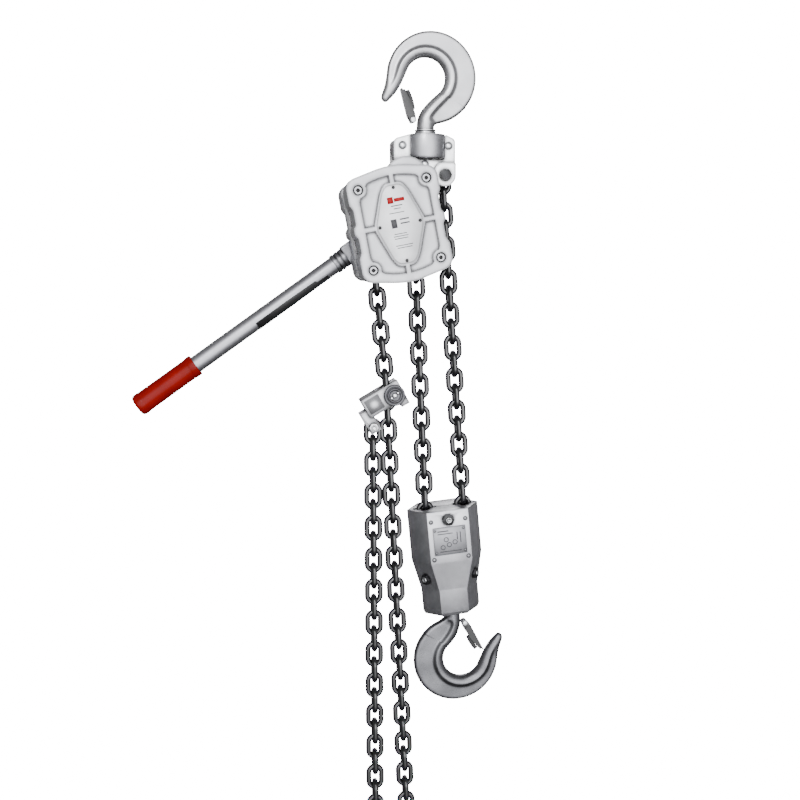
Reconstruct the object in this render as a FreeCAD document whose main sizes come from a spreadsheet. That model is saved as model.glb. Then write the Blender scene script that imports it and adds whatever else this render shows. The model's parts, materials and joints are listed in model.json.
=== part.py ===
import FreeCAD, Part
import math
import os
import Sketcher
from FreeCAD import Placement, Rotation, Vector

# Lever chain hoist, hanging from its upper hook. Millimetres.
# The origin is the centre of the upper hook's bowl. +X is right, -Y is the front (the gear cover), +Z is up.
# Every shaft of the hoist body lies along Y. The load sheave's axis is the body's main axis.

os.makedirs("parts", exist_ok=True)
doc = FreeCAD.newDocument("lever_chain_hoist")

DIMENSIONS = {
    # load chain
    "wire_radius": 5, "chain_pitch": 30, "link_width": 34, "link_play": 0.4,
    # hooks
    "bowl_radius": 35, "hook_outer_radius": 81, "hook_outer_x": 11, "web_thickness": 17,
    "bead_radius": 14, "shank_radius": 16, "lower_shank_radius": 14.2, "lower_bowl_x": 72,
    "lower_bowl_z": -1067,
    "collar_radius": 18.8, "collar_height": 10, "collar_groove": 1.4,
    "latch_thickness": 2.5, "latch_width": 18, "latch_rise": 4.5, "latch_pin_radius": 3, "nut_wall": 7.5,
    # top yoke and side plates
    "boss_radius": 40, "boss_half_width": 30.5, "boss_height": 40.5, "boss_top": -100.5,
    "plate_inside": 20, "plate_thickness": 6,
    "yoke_rivet_radius": 5, "yoke_rivet_head": 7.2, "yoke_depth": 39.6,
    "anchor_x": 30.5, "anchor_z": -172, "anchor_radius": 19, "anchor_bolt_radius": 6, "lug_height": 7,
    # hoist body
    "main_x": -60, "main_z": -261, "cover_tilt": 11, "cover_bolt_x": 60, "cover_bolt_y": 69,
    "case_half_width": 80, "case_half_height": 103, "nameplate_thickness": 1,
    "case_depth": 36, "cover_depth": 30, "cover_inside": 23, "cover_bolt_radius": 4, "cover_head_radius": 6.8,
    "counterbore_radius": 8.8, "counterbore_depth": 8, "cover_socket": 6.5, "recess_depth": 3.6,
    "recess_step": 1.4, "hump_x": -43, "hump_z": -181, "hump_radius": 38,
    # gears
    "gear_module": 2, "pinion_teeth": 12, "wheel_teeth": 36, "pressure_angle": 25, "gear_backlash": 0.3,
    "gear_line": 81, "load_gear_width": 20, "first_gear_width": 16, "idler_shaft_radius": 8,
    # load sheave and drive shaft
    "sheave_radius": 41, "sheave_width": 39, "sheave_bore": 13, "hub_radius": 22, "running_gap": 0.05,
    "sheave_phase": 16.5, "bearing_radius": 30,
    # brake
    "brake_cover_depth": 40, "brake_floor": 5, "ratchet_radius": 44, "ratchet_root": 38,
    "ratchet_teeth": 16, "ratchet_thickness": 8, "friction_radius": 36, "friction_thickness": 3,
    "pawl_pin_radius": 4, "pawl_distance": 58,
    # lever
    "lever_angle": 35.4, "lever_y": 86, "hub_half_depth": 17.5, "lever_hub_radius": 46,
    "tube_radius": 16, "tube_bore": 13, "tube_start": 66, "tube_length": 488, "ferrule_radius": 18.2,
    "ferrule_start": 92, "ferrule_end": 118, "strip_start": 166, "strip_end": 300,
    "grip_radius": 21, "grip_start": 434, "grip_end": 566, "change_gear_radius": 30,
    # hand wheel
    "wheel_radius": 44, "wheel_depth": 24, "wheel_y": 107, "selector_distance": 54,
    # lower block
    "block_x": 53.171, "block_z": -973.968, "block_tilt": 5.5, "block_height": 201, "block_taper_low": 49,
    "block_taper_high": 107, "block_half_depth": 48, "block_low_depth": 37, "block_face": 38.5,
    "block_rim": 3.5,
    "block_side": 67, "block_low_face": 26, "block_low_side": 54, "idler_radius": 36.8,
    "idler_height": 134,
    # slack end
    "slack_top_x": -71, "slack_top_z": -550, "loop_radius": 30, "loop_x": -63, "clip_x": -78,
    "clip_z": -570.7, "clip_tilt": 30, "clip_length": 76, "clip_height": 37, "clip_depth": 44,
    "clip_bolt_x": -96, "clip_bolt_z": -623, "clip_wheel_x": -59, "clip_wheel_z": -564,
    "clip_cap_radius": 19.5,
}

sheet = doc.addObject("Spreadsheet::Sheet", "Dims")
for row, (alias, value) in enumerate(DIMENSIONS.items(), start=1):
    sheet.set(f"A{row}", alias)
    sheet.set(f"B{row}", str(value))
    sheet.setAlias(f"B{row}", alias)
doc.recompute()


def size(alias):
    return float(getattr(sheet, alias))


# ---------------------------------------------------------------- shared sizes

WIRE = size("wire_radius")
PITCH = size("chain_pitch")
MAIN = Vector(size("main_x"), 0, size("main_z"))
PLATE_IN = size("plate_inside")
PLATE_OUT = PLATE_IN + size("plate_thickness")
CASE_FRONT = -(PLATE_OUT + size("case_depth"))
COVER_FRONT = CASE_FRONT - size("cover_depth")
TILT = size("cover_tilt")
GEAR_DISTANCE = size("gear_module") * (size("pinion_teeth") + size("wheel_teeth")) / 2
SHORT_CHORD = PITCH - 2 * WIRE
LONG_CHORD = PITCH + 2 * WIRE
X_AXIS = Vector(1, 0, 0)
Y_AXIS = Vector(0, 1, 0)
Z_AXIS = Vector(0, 0, 1)
ORIGIN = Vector(0, 0, 0)
SHAFT_TAIL = 11
RATCHET_PHASE = 6
PAWL_ANGLES = (20, 200)
STRIP_SIDE = 215
IDLER_AXLE = 9


def front_rotation(tilt=0):
    """Local x is right, local y is up, local z points to the front, turned anticlockwise by tilt."""
    return Rotation(Y_AXIS, -tilt) * Rotation(X_AXIS, 90)


def facing(x, y, z, tilt=0):
    return Placement(Vector(x, y, z), front_rotation(tilt))


def polar(centre, radius, degrees):
    """A point at this angle from +X, anticlockwise as seen from the front."""
    angle = math.radians(degrees)
    return centre + Vector(radius * math.cos(angle), 0, radius * math.sin(angle))


def bolt_places():
    spread_x = size("cover_bolt_x")
    spread_y = size("cover_bolt_y")
    return [(sx * spread_x, sy * spread_y) for sx in (-1, 1) for sy in (-1, 1)]


# ---------------------------------------------------------------- drawing helpers

def rounded_curves(corners):
    """Lines and arcs round a closed outline. Each corner is x, y and its radius."""
    count = len(corners)
    points = [Vector(x, y, 0) for x, y, _ in corners]
    ends = []
    arcs = []
    for index, (_, _, radius) in enumerate(corners):
        here = points[index]
        before = (points[index - 1] - here).normalize()
        after = (points[(index + 1) % count] - here).normalize()
        if radius <= 0:
            ends.append((here, here))
            arcs.append(None)
            continue
        half = before.getAngle(after) / 2
        reach = radius / math.tan(half)
        first = here + before * reach
        last = here + after * reach
        centre = here + (before + after).normalize() * (radius / math.sin(half))
        middle = centre + (here - centre).normalize() * radius
        ends.append((first, last))
        arcs.append(Part.Arc(first, middle, last))
    curves = []
    for index in range(count):
        if arcs[index] is not None:
            curves.append(arcs[index])
        start = ends[index][1]
        end = ends[(index + 1) % count][0]
        if (end - start).Length > 1e-6:
            curves.append(Part.LineSegment(start, end))
    return curves


def outline_face(corners):
    wire = Part.Wire([curve.toShape() for curve in rounded_curves(corners)])
    return Part.Face(wire)


def prism(corners, depth, place):
    """A solid of this outline, from its placement's plane along its local z."""
    solid = outline_face(corners).extrude(Vector(0, 0, depth))
    solid.Placement = place
    return solid


def cylinder_y(x, z, radius, y_low, y_high):
    return Part.makeCylinder(radius, y_high - y_low, Vector(x, y_low, z), Y_AXIS)


def ring_y(x, z, outer, inner, y_low, y_high):
    outside = cylinder_y(x, z, outer, y_low, y_high)
    return outside.cut(cylinder_y(x, z, inner, y_low - 1, y_high + 1))


def hexagon(across_flats):
    radius = across_flats / math.sqrt(3)
    angles = [math.radians(60 * step) for step in range(6)]
    return [(radius * math.cos(a), radius * math.sin(a), 0) for a in angles]


def feature(name, shape, place=None):
    """A sub-part whose shape is worked out in code from the sheet."""
    item = doc.addObject("Part::Feature", name)
    item.Shape = shape
    item.Placement = place or Placement()
    item.Label = name
    return item


def group(name, solids):
    return feature(name, Part.makeCompound(solids))


def new_body(name, place):
    body = doc.addObject("PartDesign::Body", name)
    body.Label = name
    body.Placement = place
    return body


def new_sketch(body, name, height=0, role="XY_Plane"):
    sketch = body.newObject("Sketcher::SketchObject", name)
    plane = next(item for item in body.Origin.OriginFeatures if item.Role == role)
    sketch.AttachmentSupport = [(plane, "")]
    sketch.MapMode = "FlatFace"
    sketch.AttachmentOffset = Placement(Vector(0, 0, height), Rotation())
    return sketch


def draw_circle(sketch, x, y, alias):
    number = sketch.addGeometry(Part.Circle(Vector(x, y, 0), Z_AXIS, size(alias)), False)
    rule = sketch.addConstraint(Sketcher.Constraint("Radius", number, size(alias)))
    sketch.setExpression(f"Constraints[{rule}]", f"Dims.{alias}")


def draw_outline(sketch, corners):
    for curve in rounded_curves(corners):
        sketch.addGeometry(curve, False)


def pad(body, sketch, alias):
    item = body.newObject("PartDesign::Pad", f"{body.Name}_pad")
    item.Profile = sketch
    item.setExpression("Length", f"Dims.{alias}")
    doc.recompute()
    return item


def pocket(body, sketch, expression):
    """Cuts from the sketch's plane down towards the body's own base."""
    before = body.Shape.Volume
    item = body.newObject("PartDesign::Pocket", f"{body.Name}_pocket")
    item.Profile = sketch
    item.setExpression("Length", expression)
    doc.recompute()
    if body.Shape.Volume >= before:
        raise RuntimeError(f"{body.Label}: a pocket removed nothing")
    return item


def ring_body(name, place, outer_alias, inner_alias, depth_alias):
    body = new_body(name, place)
    sketch = new_sketch(body, f"{name}_rings")
    draw_circle(sketch, 0, 0, outer_alias)
    draw_circle(sketch, 0, 0, inner_alias)
    pad(body, sketch, depth_alias)
    return body


def turned_body(name, place, profile):
    """A turned piece: radius and height pairs, revolved about the placement's local z."""
    body = new_body(name, place)
    sketch = new_sketch(body, f"{name}_profile", role="XZ_Plane")
    draw_outline(sketch, profile)
    item = body.newObject("PartDesign::Revolution", f"{name}_turn")
    item.Profile = sketch
    item.ReferenceAxis = (sketch, ["V_Axis"])
    item.Angle = 360
    doc.recompute()
    return body


# ---------------------------------------------------------------- load chain

def link_solid():
    """One link in the local XZ plane, its length along z."""
    play = size("link_play") / 2
    bend = size("link_width") / 2 - WIRE
    straight = PITCH / 2 + play + WIRE - bend
    top = Part.makeTorus(bend, WIRE, Vector(0, 0, straight), Y_AXIS)
    top = top.common(Part.makeBox(80, 80, 60, Vector(-40, -40, straight)))
    bottom = top.mirror(ORIGIN, Z_AXIS)
    sides = [Part.makeCylinder(WIRE, 2 * straight, Vector(x, 0, -straight)) for x in (-bend, bend)]
    return top.multiFuse([bottom] + sides).removeSplitter()


LINK = link_solid()


def place_link(start, end, edge_on):
    direction = end - start
    lean = math.degrees(math.atan2(direction.x, direction.z))
    turn = Rotation(Y_AXIS, lean)
    if edge_on:
        turn = turn * Rotation(Z_AXIS, 90)
    solid = LINK.copy()
    solid.Placement = Placement((start + end) * 0.5, turn)
    return solid


def line_run(start, end):
    length = (end - start).Length
    return length, lambda distance: start + (end - start) * (distance / length)


def arc_run(centre, radius, start_angle, sweep):
    length = radius * math.radians(abs(sweep))
    return length, lambda distance: polar(centre, radius, start_angle + sweep * distance / length)


def route_point(runs, distance):
    """The point this far along a route of straight runs and arcs; the last run goes on past its end."""
    for length, point in runs[:-1]:
        if distance <= length:
            return point(distance)
        distance -= length
    return runs[-1][1](distance)


def walk(runs, chords):
    """Pivots along a route, each a straight chord from the one before."""
    place = 0.0
    pivots = [route_point(runs, place)]
    for chord in chords:
        low = place + chord * 0.9
        high = place + chord * 1.8
        for _ in range(40):
            middle = (low + high) / 2
            if (route_point(runs, middle) - pivots[-1]).Length < chord:
                low = middle
            else:
                high = middle
        place = low
        pivots.append(route_point(runs, place))
    return pivots


def edge_on_flags(first_edge_on, count):
    return [first_edge_on == (step % 2 == 0) for step in range(count)]


def fitted_pivots(make_runs, target, flags, low, high):
    """Pivots of a route lengthened until the last one is at the target's height, and that lengthening."""
    chords = [LONG_CHORD if edge_on else SHORT_CHORD for edge_on in flags]
    for _ in range(40):
        middle = (low + high) / 2
        if walk(make_runs(middle), chords)[-1].z > target.z:
            low = middle
        else:
            high = middle
    return walk(make_runs(low), chords), low


def links_along(pivots, flags):
    return [place_link(pivots[step], pivots[step + 1], flags[step]) for step in range(len(flags))]


def tangent_angle(centre, radius, point, side):
    """The angle on a circle where a line from the point touches it."""
    offset = point - centre
    toward = math.degrees(math.atan2(offset.z, offset.x))
    return toward + side * math.degrees(math.acos(radius / offset.Length))


def chord_turn(chord, radius):
    return 2 * math.degrees(math.asin(chord / 2 / radius))


def sheave_pitch_radius():
    """The radius on which a flat and a standing link together turn through a quarter."""
    low = LONG_CHORD / 2
    high = 3 * LONG_CHORD
    for _ in range(50):
        radius = (low + high) / 2
        if chord_turn(SHORT_CHORD, radius) + chord_turn(LONG_CHORD, radius) > 90:
            low = radius
        else:
            high = radius
    return low


SHEAVE_PITCH = sheave_pitch_radius()
SHORT_TURN = chord_turn(SHORT_CHORD, SHEAVE_PITCH)
LONG_TURN = chord_turn(LONG_CHORD, SHEAVE_PITCH)
WRAP_FLAGS = [False, True, False, True]


def sheave_pivots():
    """Pivots on the load sheave from the load side, over the top, to the slack side."""
    angle = size("sheave_phase") - SHORT_TURN / 2
    angles = [angle]
    for edge_on in WRAP_FLAGS:
        angle += LONG_TURN if edge_on else SHORT_TURN
        angles.append(angle)
    return [polar(MAIN, SHEAVE_PITCH, angle) for angle in angles]


def block_point(height):
    """A point on the lower block's own axis, this far above its bottom."""
    lean = math.radians(size("block_tilt"))
    return Vector(size("block_x"), 0, size("block_z")) + Vector(-math.sin(lean), 0, math.cos(lean)) * height


BOLT_DROP = PITCH / 2 - size("anchor_bolt_radius") + SHORT_CHORD / 2
ANCHOR = Vector(size("anchor_x"), 0, size("anchor_z"))
CLIP_BOLT = Vector(size("clip_bolt_x"), 0, size("clip_bolt_z"))
IDLER = block_point(size("idler_height"))
FALL_END = ANCHOR + (IDLER + X_AXIS * size("idler_radius") - ANCHOR).normalize() * BOLT_DROP
FALL_LINKS = 45
SLACK_LINKS = 64
FALL_FIXED_LOW = 4
FALL_FIXED_HIGH = 6
SLACK_FIXED = 5


def fall_runs(drop):
    """Load fall, round the idler sheave and up the anchor fall, with the idler lowered by drop."""
    start = sheave_pivots()[0]
    centre = block_point(size("idler_height") - drop)
    radius = size("idler_radius")
    left = tangent_angle(centre, radius, start, 1)
    right = tangent_angle(centre, radius, FALL_END, -1)
    first = polar(centre, radius, left)
    last = polar(centre, radius, right)
    bend = arc_run(centre, radius, left, (right - left) % 360)
    return [line_run(start, first), bend, line_run(last, FALL_END)]


def slack_runs(depth):
    """Down the slack fall, round the bottom of the loop and up to the clip's bolt."""
    radius = size("loop_radius")
    knee = Vector(size("slack_top_x"), 0, size("slack_top_z"))
    bend = Vector(size("loop_x"), 0, -depth)
    left = bend - X_AXIS * radius
    return [
        line_run(sheave_pivots()[-1], knee),
        line_run(knee, bend + X_AXIS * radius),
        arc_run(bend, radius, 0, -180),
        line_run(left, CLIP_BOLT - Z_AXIS * BOLT_DROP),
    ]


def hanging_link(bolt, toward):
    """The face-on link that hangs on a bolt, its length towards the next pivot."""
    direction = (toward - bolt).normalize()
    end = bolt + direction * BOLT_DROP
    return place_link(end - direction * SHORT_CHORD, end, False)


WRAP_LINKS = links_along(sheave_pivots(), WRAP_FLAGS)
FALL_FLAGS = edge_on_flags(True, FALL_LINKS)
FALL_PIVOTS, FALL_DROP = fitted_pivots(fall_runs, FALL_END, FALL_FLAGS, -40, 40)
FALL = links_along(FALL_PIVOTS, FALL_FLAGS)
IDLER_HEIGHT = size("idler_height") - FALL_DROP
FALL_CENTRE = block_point(IDLER_HEIGHT)
SLACK_FLAGS = edge_on_flags(False, SLACK_LINKS)
SLACK_PIVOTS, _ = fitted_pivots(slack_runs, CLIP_BOLT - Z_AXIS * BOLT_DROP, SLACK_FLAGS, 1200, 1500)
SLACK = links_along(SLACK_PIVOTS, SLACK_FLAGS)


# ---------------------------------------------------------------- hooks

def arc(first, middle, last):
    points = [Vector(x, y, 0) for x, y in (first, middle, last)]
    return Part.Arc(*points).toShape()


def circle_point(x, y, radius, degrees):
    angle = math.radians(degrees)
    return x + radius * math.cos(angle), y + radius * math.sin(angle)


# Each hook is drawn in local x and y about its bowl's centre, its shank running towards -y.
# The lower hook's shank is slimmer, and follows the block's own leaning axis.
UPPER = {
    "shank_x": 0, "lean": 0, "radius": size("shank_radius"),
    "neck": [(-16, -88), (-14, -66), (4, -43)], "pivot": (-23, -74), "rest": (-41.5, -18.5),
    "nut": (120.5, 141.5),
}
LOWER = {
    "shank_x": 9.87, "lean": size("block_tilt"), "radius": size("lower_shank_radius"),
    "neck": [(5, -88), (6, -64), (13, -43)], "pivot": (-5, -68), "rest": (-38, -14),
    "nut": (130.8, 150.8),
}


def shank_frame(hook):
    """Local -y of this frame runs along the shank's axis."""
    return Placement(Vector(hook["shank_x"], 0, 0), Rotation(Z_AXIS, hook["lean"]))


def shank_rod(hook, radius, start, end):
    rod = Part.makeCylinder(radius, end - start, Vector(0, -start, 0), Vector(0, -1, 0))
    rod.Placement = shank_frame(hook) * rod.Placement
    return rod


def hook_web(hook):
    """The flat forged crescent."""
    centre_x = size("hook_outer_x")
    outer = size("hook_outer_radius")
    bowl = size("bowl_radius")
    first, inner, middle = hook["neck"]
    right = first[0] + 2 * hook["radius"]
    back = circle_point(centre_x, 1, outer, 181)
    crown = circle_point(centre_x, 1, outer, 60)
    heel = circle_point(centre_x, 1, outer, -math.degrees(math.acos((right + 6.3 - centre_x) / outer)))
    throat = circle_point(0, 0, bowl, -40)
    bowl_top = circle_point(0, 0, bowl, 65)
    mouth = circle_point(0, 0, bowl, 160)
    edges = [
        arc(back, crown, heel),
        arc(heel, (right + 2, heel[1] - 2.3), (right, first[1])),
        Part.makeLine(Vector(right, first[1], 0), Vector(*first, 0)),
        Part.makeLine(Vector(*first, 0), Vector(*inner, 0)),
        arc(inner, middle, throat),
        arc(throat, bowl_top, mouth),
        arc(mouth, (-39, -4), (-47, -19)),
        Part.makeLine(Vector(-47, -19, 0), Vector(-68.5, -43.5, 0)),
        arc((-68.5, -43.5), (-77.5, -42.5), (-79, -34.5)),
        arc((-79, -34.5), (-72.5, -17), back),
    ]
    face = Part.Face(Part.Wire(edges))
    thickness = size("web_thickness")
    solid = face.extrude(Vector(0, 0, thickness))
    solid.translate(Vector(0, 0, -thickness / 2))
    return solid


def capsule(start, end, radius_start, radius_end):
    """A round bar between two local points, with ball ends."""
    axis = end - start
    pieces = [Part.makeSphere(radius_start, start), Part.makeSphere(radius_end, end)]
    if abs(radius_start - radius_end) < 0.01:
        pieces.append(Part.makeCylinder(radius_start, axis.Length, start, axis))
    else:
        pieces.append(Part.makeCone(radius_start, radius_end, axis.Length, start, axis))
    return pieces


def hook_bead(hook):
    """The thick round inner rim, from the tip round the bowl to the shank."""
    bead = size("bead_radius")
    middle = size("bowl_radius") + bead
    ring = Part.makeTorus(middle, bead, ORIGIN, Z_AXIS, 0, 360, 200)
    ring.rotate(ORIGIN, Z_AXIS, -40)
    throat = Vector(*circle_point(0, 0, middle, -40), 0)
    mouth = Vector(*circle_point(0, 0, middle, 160), 0)
    neck = shank_frame(hook).multVec(Vector(0, -73, 0))
    tip = Vector(-72.2, -37.2, 0)
    pieces = [ring]
    pieces += capsule(throat, neck, bead, hook["radius"] - 0.8)
    pieces += capsule(mouth, Vector(-58, -15, 0), bead, bead - 2.5)
    pieces += capsule(Vector(-58, -15, 0), tip, bead - 2.5, 6.8)
    return pieces


def hook_forging(hook):
    """Web, bead, shank and the ear that carries the latch pin."""
    pin = Vector(*hook["pivot"], 0)
    shank = shank_rod(hook, hook["radius"], 70, hook["nut"][1])
    ear = Part.makeBox(20, 13, 9, Vector(pin.x - 5.5, pin.y - 6.5, -4.5))
    hole = Part.makeCylinder(size("latch_pin_radius") + 0.05, 12, Vector(pin.x, pin.y, -6))
    body = hook_web(hook).multiFuse(hook_bead(hook) + [shank, ear]).removeSplitter()
    return body.cut(hole)


def latch_solid(hook):
    """A folded sheet channel from its two ears on the pin up to the inside of the tip."""
    start = Vector(*hook["pivot"], 0)
    end = Vector(*hook["rest"], 0)
    along = (end - start).normalize()
    frame = Placement(start, Rotation(along, Z_AXIS.cross(along), Z_AXIS, "XYZ"))
    length = (end - start).Length
    width = size("latch_width")
    sheet = size("latch_thickness")
    back = 1.2 + sheet
    rise = size("latch_rise")
    plate = [(10, rise, 0), (length, 1.2, 0), (length, back, 0), (10, rise + sheet, 0)]
    solids = [prism(plate, width, Placement(Vector(0, 0, -width / 2), Rotation()))]
    lip = [(-5, -5, 3), (10, -7, 3), (length * 0.55, -6.5, 4), (length - 3, -2.2, 2)]
    flange = lip + [(length - 3, back + 0.2, 0), (10, rise + sheet, 2), (-4, rise, 3)]
    for low in (-width / 2, width / 2 - sheet):
        solids.append(prism(flange, sheet, Placement(Vector(0, 0, low), Rotation())))
    for solid in solids:
        solid.Placement = frame * solid.Placement
    latch = solids[0].multiFuse(solids[1:])
    return latch.cut(Part.makeCylinder(size("latch_pin_radius") + 0.05, 40, start - Z_AXIS * 20))


def latch_pin(hook):
    """The riveted pin and the two wire coils that spring the latch shut."""
    start = Vector(*hook["pivot"], 0)
    radius = size("latch_pin_radius")
    half = size("latch_width") / 2
    pin = Part.makeCylinder(radius, 2 * half + 2, start - Z_AXIS * (half + 1))
    heads = [Part.makeCylinder(radius + 1.5, 1.5, start + Z_AXIS * low) for low in (-half - 1.8, half + 0.3)]
    coils = [Part.makeTorus(radius + 0.9, 0.7, start + Z_AXIS * z, Z_AXIS) for z in (-5.5, 5.5)]
    return Part.makeCompound([pin.multiFuse(heads)] + coils)


def hook_nut(hook):
    """A round slotted nut on the shank's thread."""
    low, high = hook["nut"]
    nut = shank_rod(hook, hook["radius"] + size("nut_wall"), low, high)
    nut = nut.cut(shank_rod(hook, hook["radius"], low - 1, high + 1))
    for step in range(3):
        slot = Part.makeBox(60, 5, 5, Vector(-30, -high - 0.5, -2.5))
        slot.rotate(ORIGIN, Y_AXIS, 60 * step)
        slot.Placement = shank_frame(hook) * slot.Placement
        nut = nut.cut(slot)
    return nut


def hook_set(prefix, hook, place):
    """A hook with its latch, pin, springs and nut, all placed alike."""
    feature(f"{prefix}_hook", hook_forging(hook), place)
    feature(f"{prefix}_latch", latch_solid(hook), place)
    feature(f"{prefix}_latch_pin", latch_pin(hook), place)
    feature(f"{prefix}_hook_nut", hook_nut(hook), place)


def hooks():
    hook_set("upper", UPPER, Placement(ORIGIN, front_rotation()))
    bowl = Vector(size("lower_bowl_x"), 0, size("lower_bowl_z"))
    hook_set("lower", LOWER, Placement(bowl, front_rotation(180)))


# ---------------------------------------------------------------- yoke and side plates

YOKE_RIVETS = [(-45, -120.5), (37.6, -120.5)]
STAY_RIVET = (-5, -153)


def upright(y_rear, tilt=0, origin=ORIGIN):
    return facing(origin.x, y_rear, origin.z, tilt)


def top_yoke():
    """The casting that the hook turns in: a block between the plates with a round boss front and back."""
    depth = size("yoke_depth")
    top = size("boss_top")
    block = [
        (-59, -138, 4), (46, -138, 4), (46, -111, 8), (30.5, top - 1, 2), (-30.5, top - 1, 2), (-59, -111, 8),
    ]
    casting = prism(block, depth, upright(depth / 2))
    radius = size("boss_radius")
    height = size("boss_height")
    half = size("boss_half_width")
    boss = Part.makeCylinder(radius, height, Vector(0, 0, top - height))
    boss = boss.common(Part.makeBox(2 * half, 2 * radius, height, Vector(-half, -radius, top - height)))
    casting = casting.fuse(boss).removeSplitter()
    shank = size("shank_radius")
    casting = casting.cut(Part.makeCylinder(shank + size("running_gap"), 80, Vector(0, 0, top - 60)))
    casting = casting.cut(Part.makeCylinder(shank + 10, height - 16, Vector(0, 0, top - height - 0.1)))
    for x, z in YOKE_RIVETS:
        casting = casting.cut(cylinder_y(x, z, size("yoke_rivet_radius"), -50, 50))
    feature("top_yoke", casting)


def hook_washers():
    """The collar on top of the yoke, and the thrust washer inside it between yoke and nut."""
    shank = size("shank_radius")
    top = size("boss_top")
    radius = size("collar_radius")
    height = size("collar_height")
    groove = size("collar_groove")
    collar = Part.makeCylinder(radius, height, Vector(0, 0, top))
    slit = Part.makeCylinder(radius + 1, groove, Vector(0, 0, top + height * 0.62))
    collar = collar.cut(slit.cut(Part.makeCylinder(radius - groove, height, Vector(0, 0, top))))
    washer = Part.makeCylinder(shank + 8, 3, Vector(0, 0, top - 19.3))
    bore = Part.makeCylinder(shank + 0.3, 60, Vector(0, 0, top - 40))
    group("hook_washers", [collar.cut(bore), washer.cut(bore)])


def case_outline(inset=0):
    """The casing's outline about the main axis: arched top and bottom, and three lobes down each side."""
    side = size("case_half_width") - inset
    waist = side - 5
    arch = size("case_half_height") - inset
    lobe = 87 - inset
    upper = [(side, 5, 5), (waist, 12, 5), (waist, 37, 8), (side, 46, 8), (side, lobe, 20)]
    lower = [(x, -y, r) for x, y, r in reversed(upper)]
    right = lower + upper + [(0, arch, 150)]
    return right + [(-x, -y, r) for x, y, r in right]


def cavity_outline():
    """The inside of the gear case and the brake cover, which leaves the bolt lobes solid."""
    quarter = [(70, 40), (36, 84)]
    points = quarter + [(-x, y) for x, y in reversed(quarter)]
    points += [(-x, -y) for x, y in quarter] + [(x, -y) for x, y in reversed(quarter)]
    return [(x, y, 10) for x, y in points]


def gear_places():
    line = size("gear_line")
    return [polar(MAIN, GEAR_DISTANCE, line), polar(MAIN, GEAR_DISTANCE, line + 180)]


def side_plate(name, y_rear, shaft_holes):
    """Carries the yoke, the chain anchor and the sheave; its lower half follows the casing."""
    thickness = size("plate_thickness")
    cut = size("boss_half_width") + 0.5
    top = size("boss_top")
    right = size("anchor_x") + size("anchor_radius")
    low = size("anchor_z") - size("anchor_radius")
    hanger = [
        (-60.5, -109, 9), (-cut, top, 2), (-cut, -145.5, 4), (cut, -145.5, 4), (cut, top, 2),
        (right, -109, 9), (right, low, 18), (right - 38, low, 18), (-20, -240, 0), (-60.5, -240, 0),
    ]
    plate = prism(hanger, thickness, upright(y_rear))
    body = prism(case_outline(3), thickness, upright(y_rear, TILT, MAIN))
    plate = plate.fuse(body).removeSplitter()
    pad_low = [(right, low + 41, 3), (right - 38, low + 41, 16), (right - 38, low, 18.5), (right, low, 18.5)]
    front = y_rear < 0
    lug_rear = y_rear - thickness if front else y_rear + size("lug_height")
    plate = plate.fuse(prism(pad_low, size("lug_height"), upright(lug_rear))).removeSplitter()
    holes = [(x, z, size("yoke_rivet_radius")) for x, z in YOKE_RIVETS + [STAY_RIVET]]
    holes.append((size("anchor_x"), size("anchor_z"), size("anchor_bolt_radius")))
    holes.append((MAIN.x, MAIN.z, size("bearing_radius")))
    if shaft_holes:
        holes += [(at.x, at.z, size("idler_shaft_radius") + size("running_gap")) for at in gear_places()]
    for x, z, radius in holes:
        plate = plate.cut(cylinder_y(x, z, radius, -60, 60))
    feature(name, plate)


def rivet(x, z, radius, head, y_low, y_high):
    """A rivet along Y with a domed head at each end."""
    solids = [cylinder_y(x, z, radius, y_low, y_high)]
    rise = head * 0.5
    ball = (head * head + rise * rise) / (2 * rise)
    for y, side in ((y_low, -1), (y_high, 1)):
        dome = Part.makeSphere(ball, Vector(x, y - side * (ball - rise), z))
        low = y - 20 if side < 0 else y
        solids.append(dome.common(Part.makeBox(60, 20, 60, Vector(x - 30, low, z - 30))))
    return solids[0].multiFuse(solids[1:]).removeSplitter()


def yoke_rivets():
    radius = size("yoke_rivet_radius")
    head = size("yoke_rivet_head")
    places = YOKE_RIVETS + [STAY_RIVET]
    group("yoke_rivets", [rivet(x, z, radius, head, -PLATE_OUT, PLATE_OUT) for x, z in places])


def hex_prism(x, z, flats, y_low, y_high, tilt=0):
    return prism(hexagon(flats), y_high - y_low, facing(x, y_high, z, tilt))


def anchor_bolt():
    """The bolt that holds the chain's fixed end, with its nut and the two sleeves beside the link."""
    radius = size("anchor_bolt_radius")
    x = size("anchor_x")
    z = size("anchor_z")
    face = PLATE_OUT + size("lug_height")
    shaft = cylinder_y(x, z, radius, -face - 1, face + 12)
    head = hex_prism(x, z, 19, -face - 8, -face)
    nut = hex_prism(x, z, 19, face, face + 10).cut(cylinder_y(x, z, radius, face - 1, face + 11))
    sleeves = [ring_y(x, z, radius + 2.5, radius, low, low + 14) for low in (-PLATE_IN, PLATE_IN - 14)]
    group("anchor_bolt", [shaft.fuse(head).removeSplitter(), nut] + sleeves)


# ---------------------------------------------------------------- casings

def gear_case():
    """The ring of casing round the gears, with the hump that rises behind the cover."""
    depth = size("case_depth")
    place = upright(-PLATE_OUT, TILT, MAIN)
    hump = cylinder_y(size("hump_x"), size("hump_z"), size("hump_radius"), CASE_FRONT, -PLATE_OUT)
    shell = prism(case_outline(1), depth, place).fuse(hump).removeSplitter()
    shell = shell.cut(prism(cavity_outline(), depth, place))
    for x, y in bolt_places():
        hole = Part.makeCylinder(size("cover_bolt_radius") + 0.1, depth, Vector(x, y, 0))
        hole.Placement = place
        shell = shell.cut(hole)
    feature("gear_case", shell)


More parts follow.
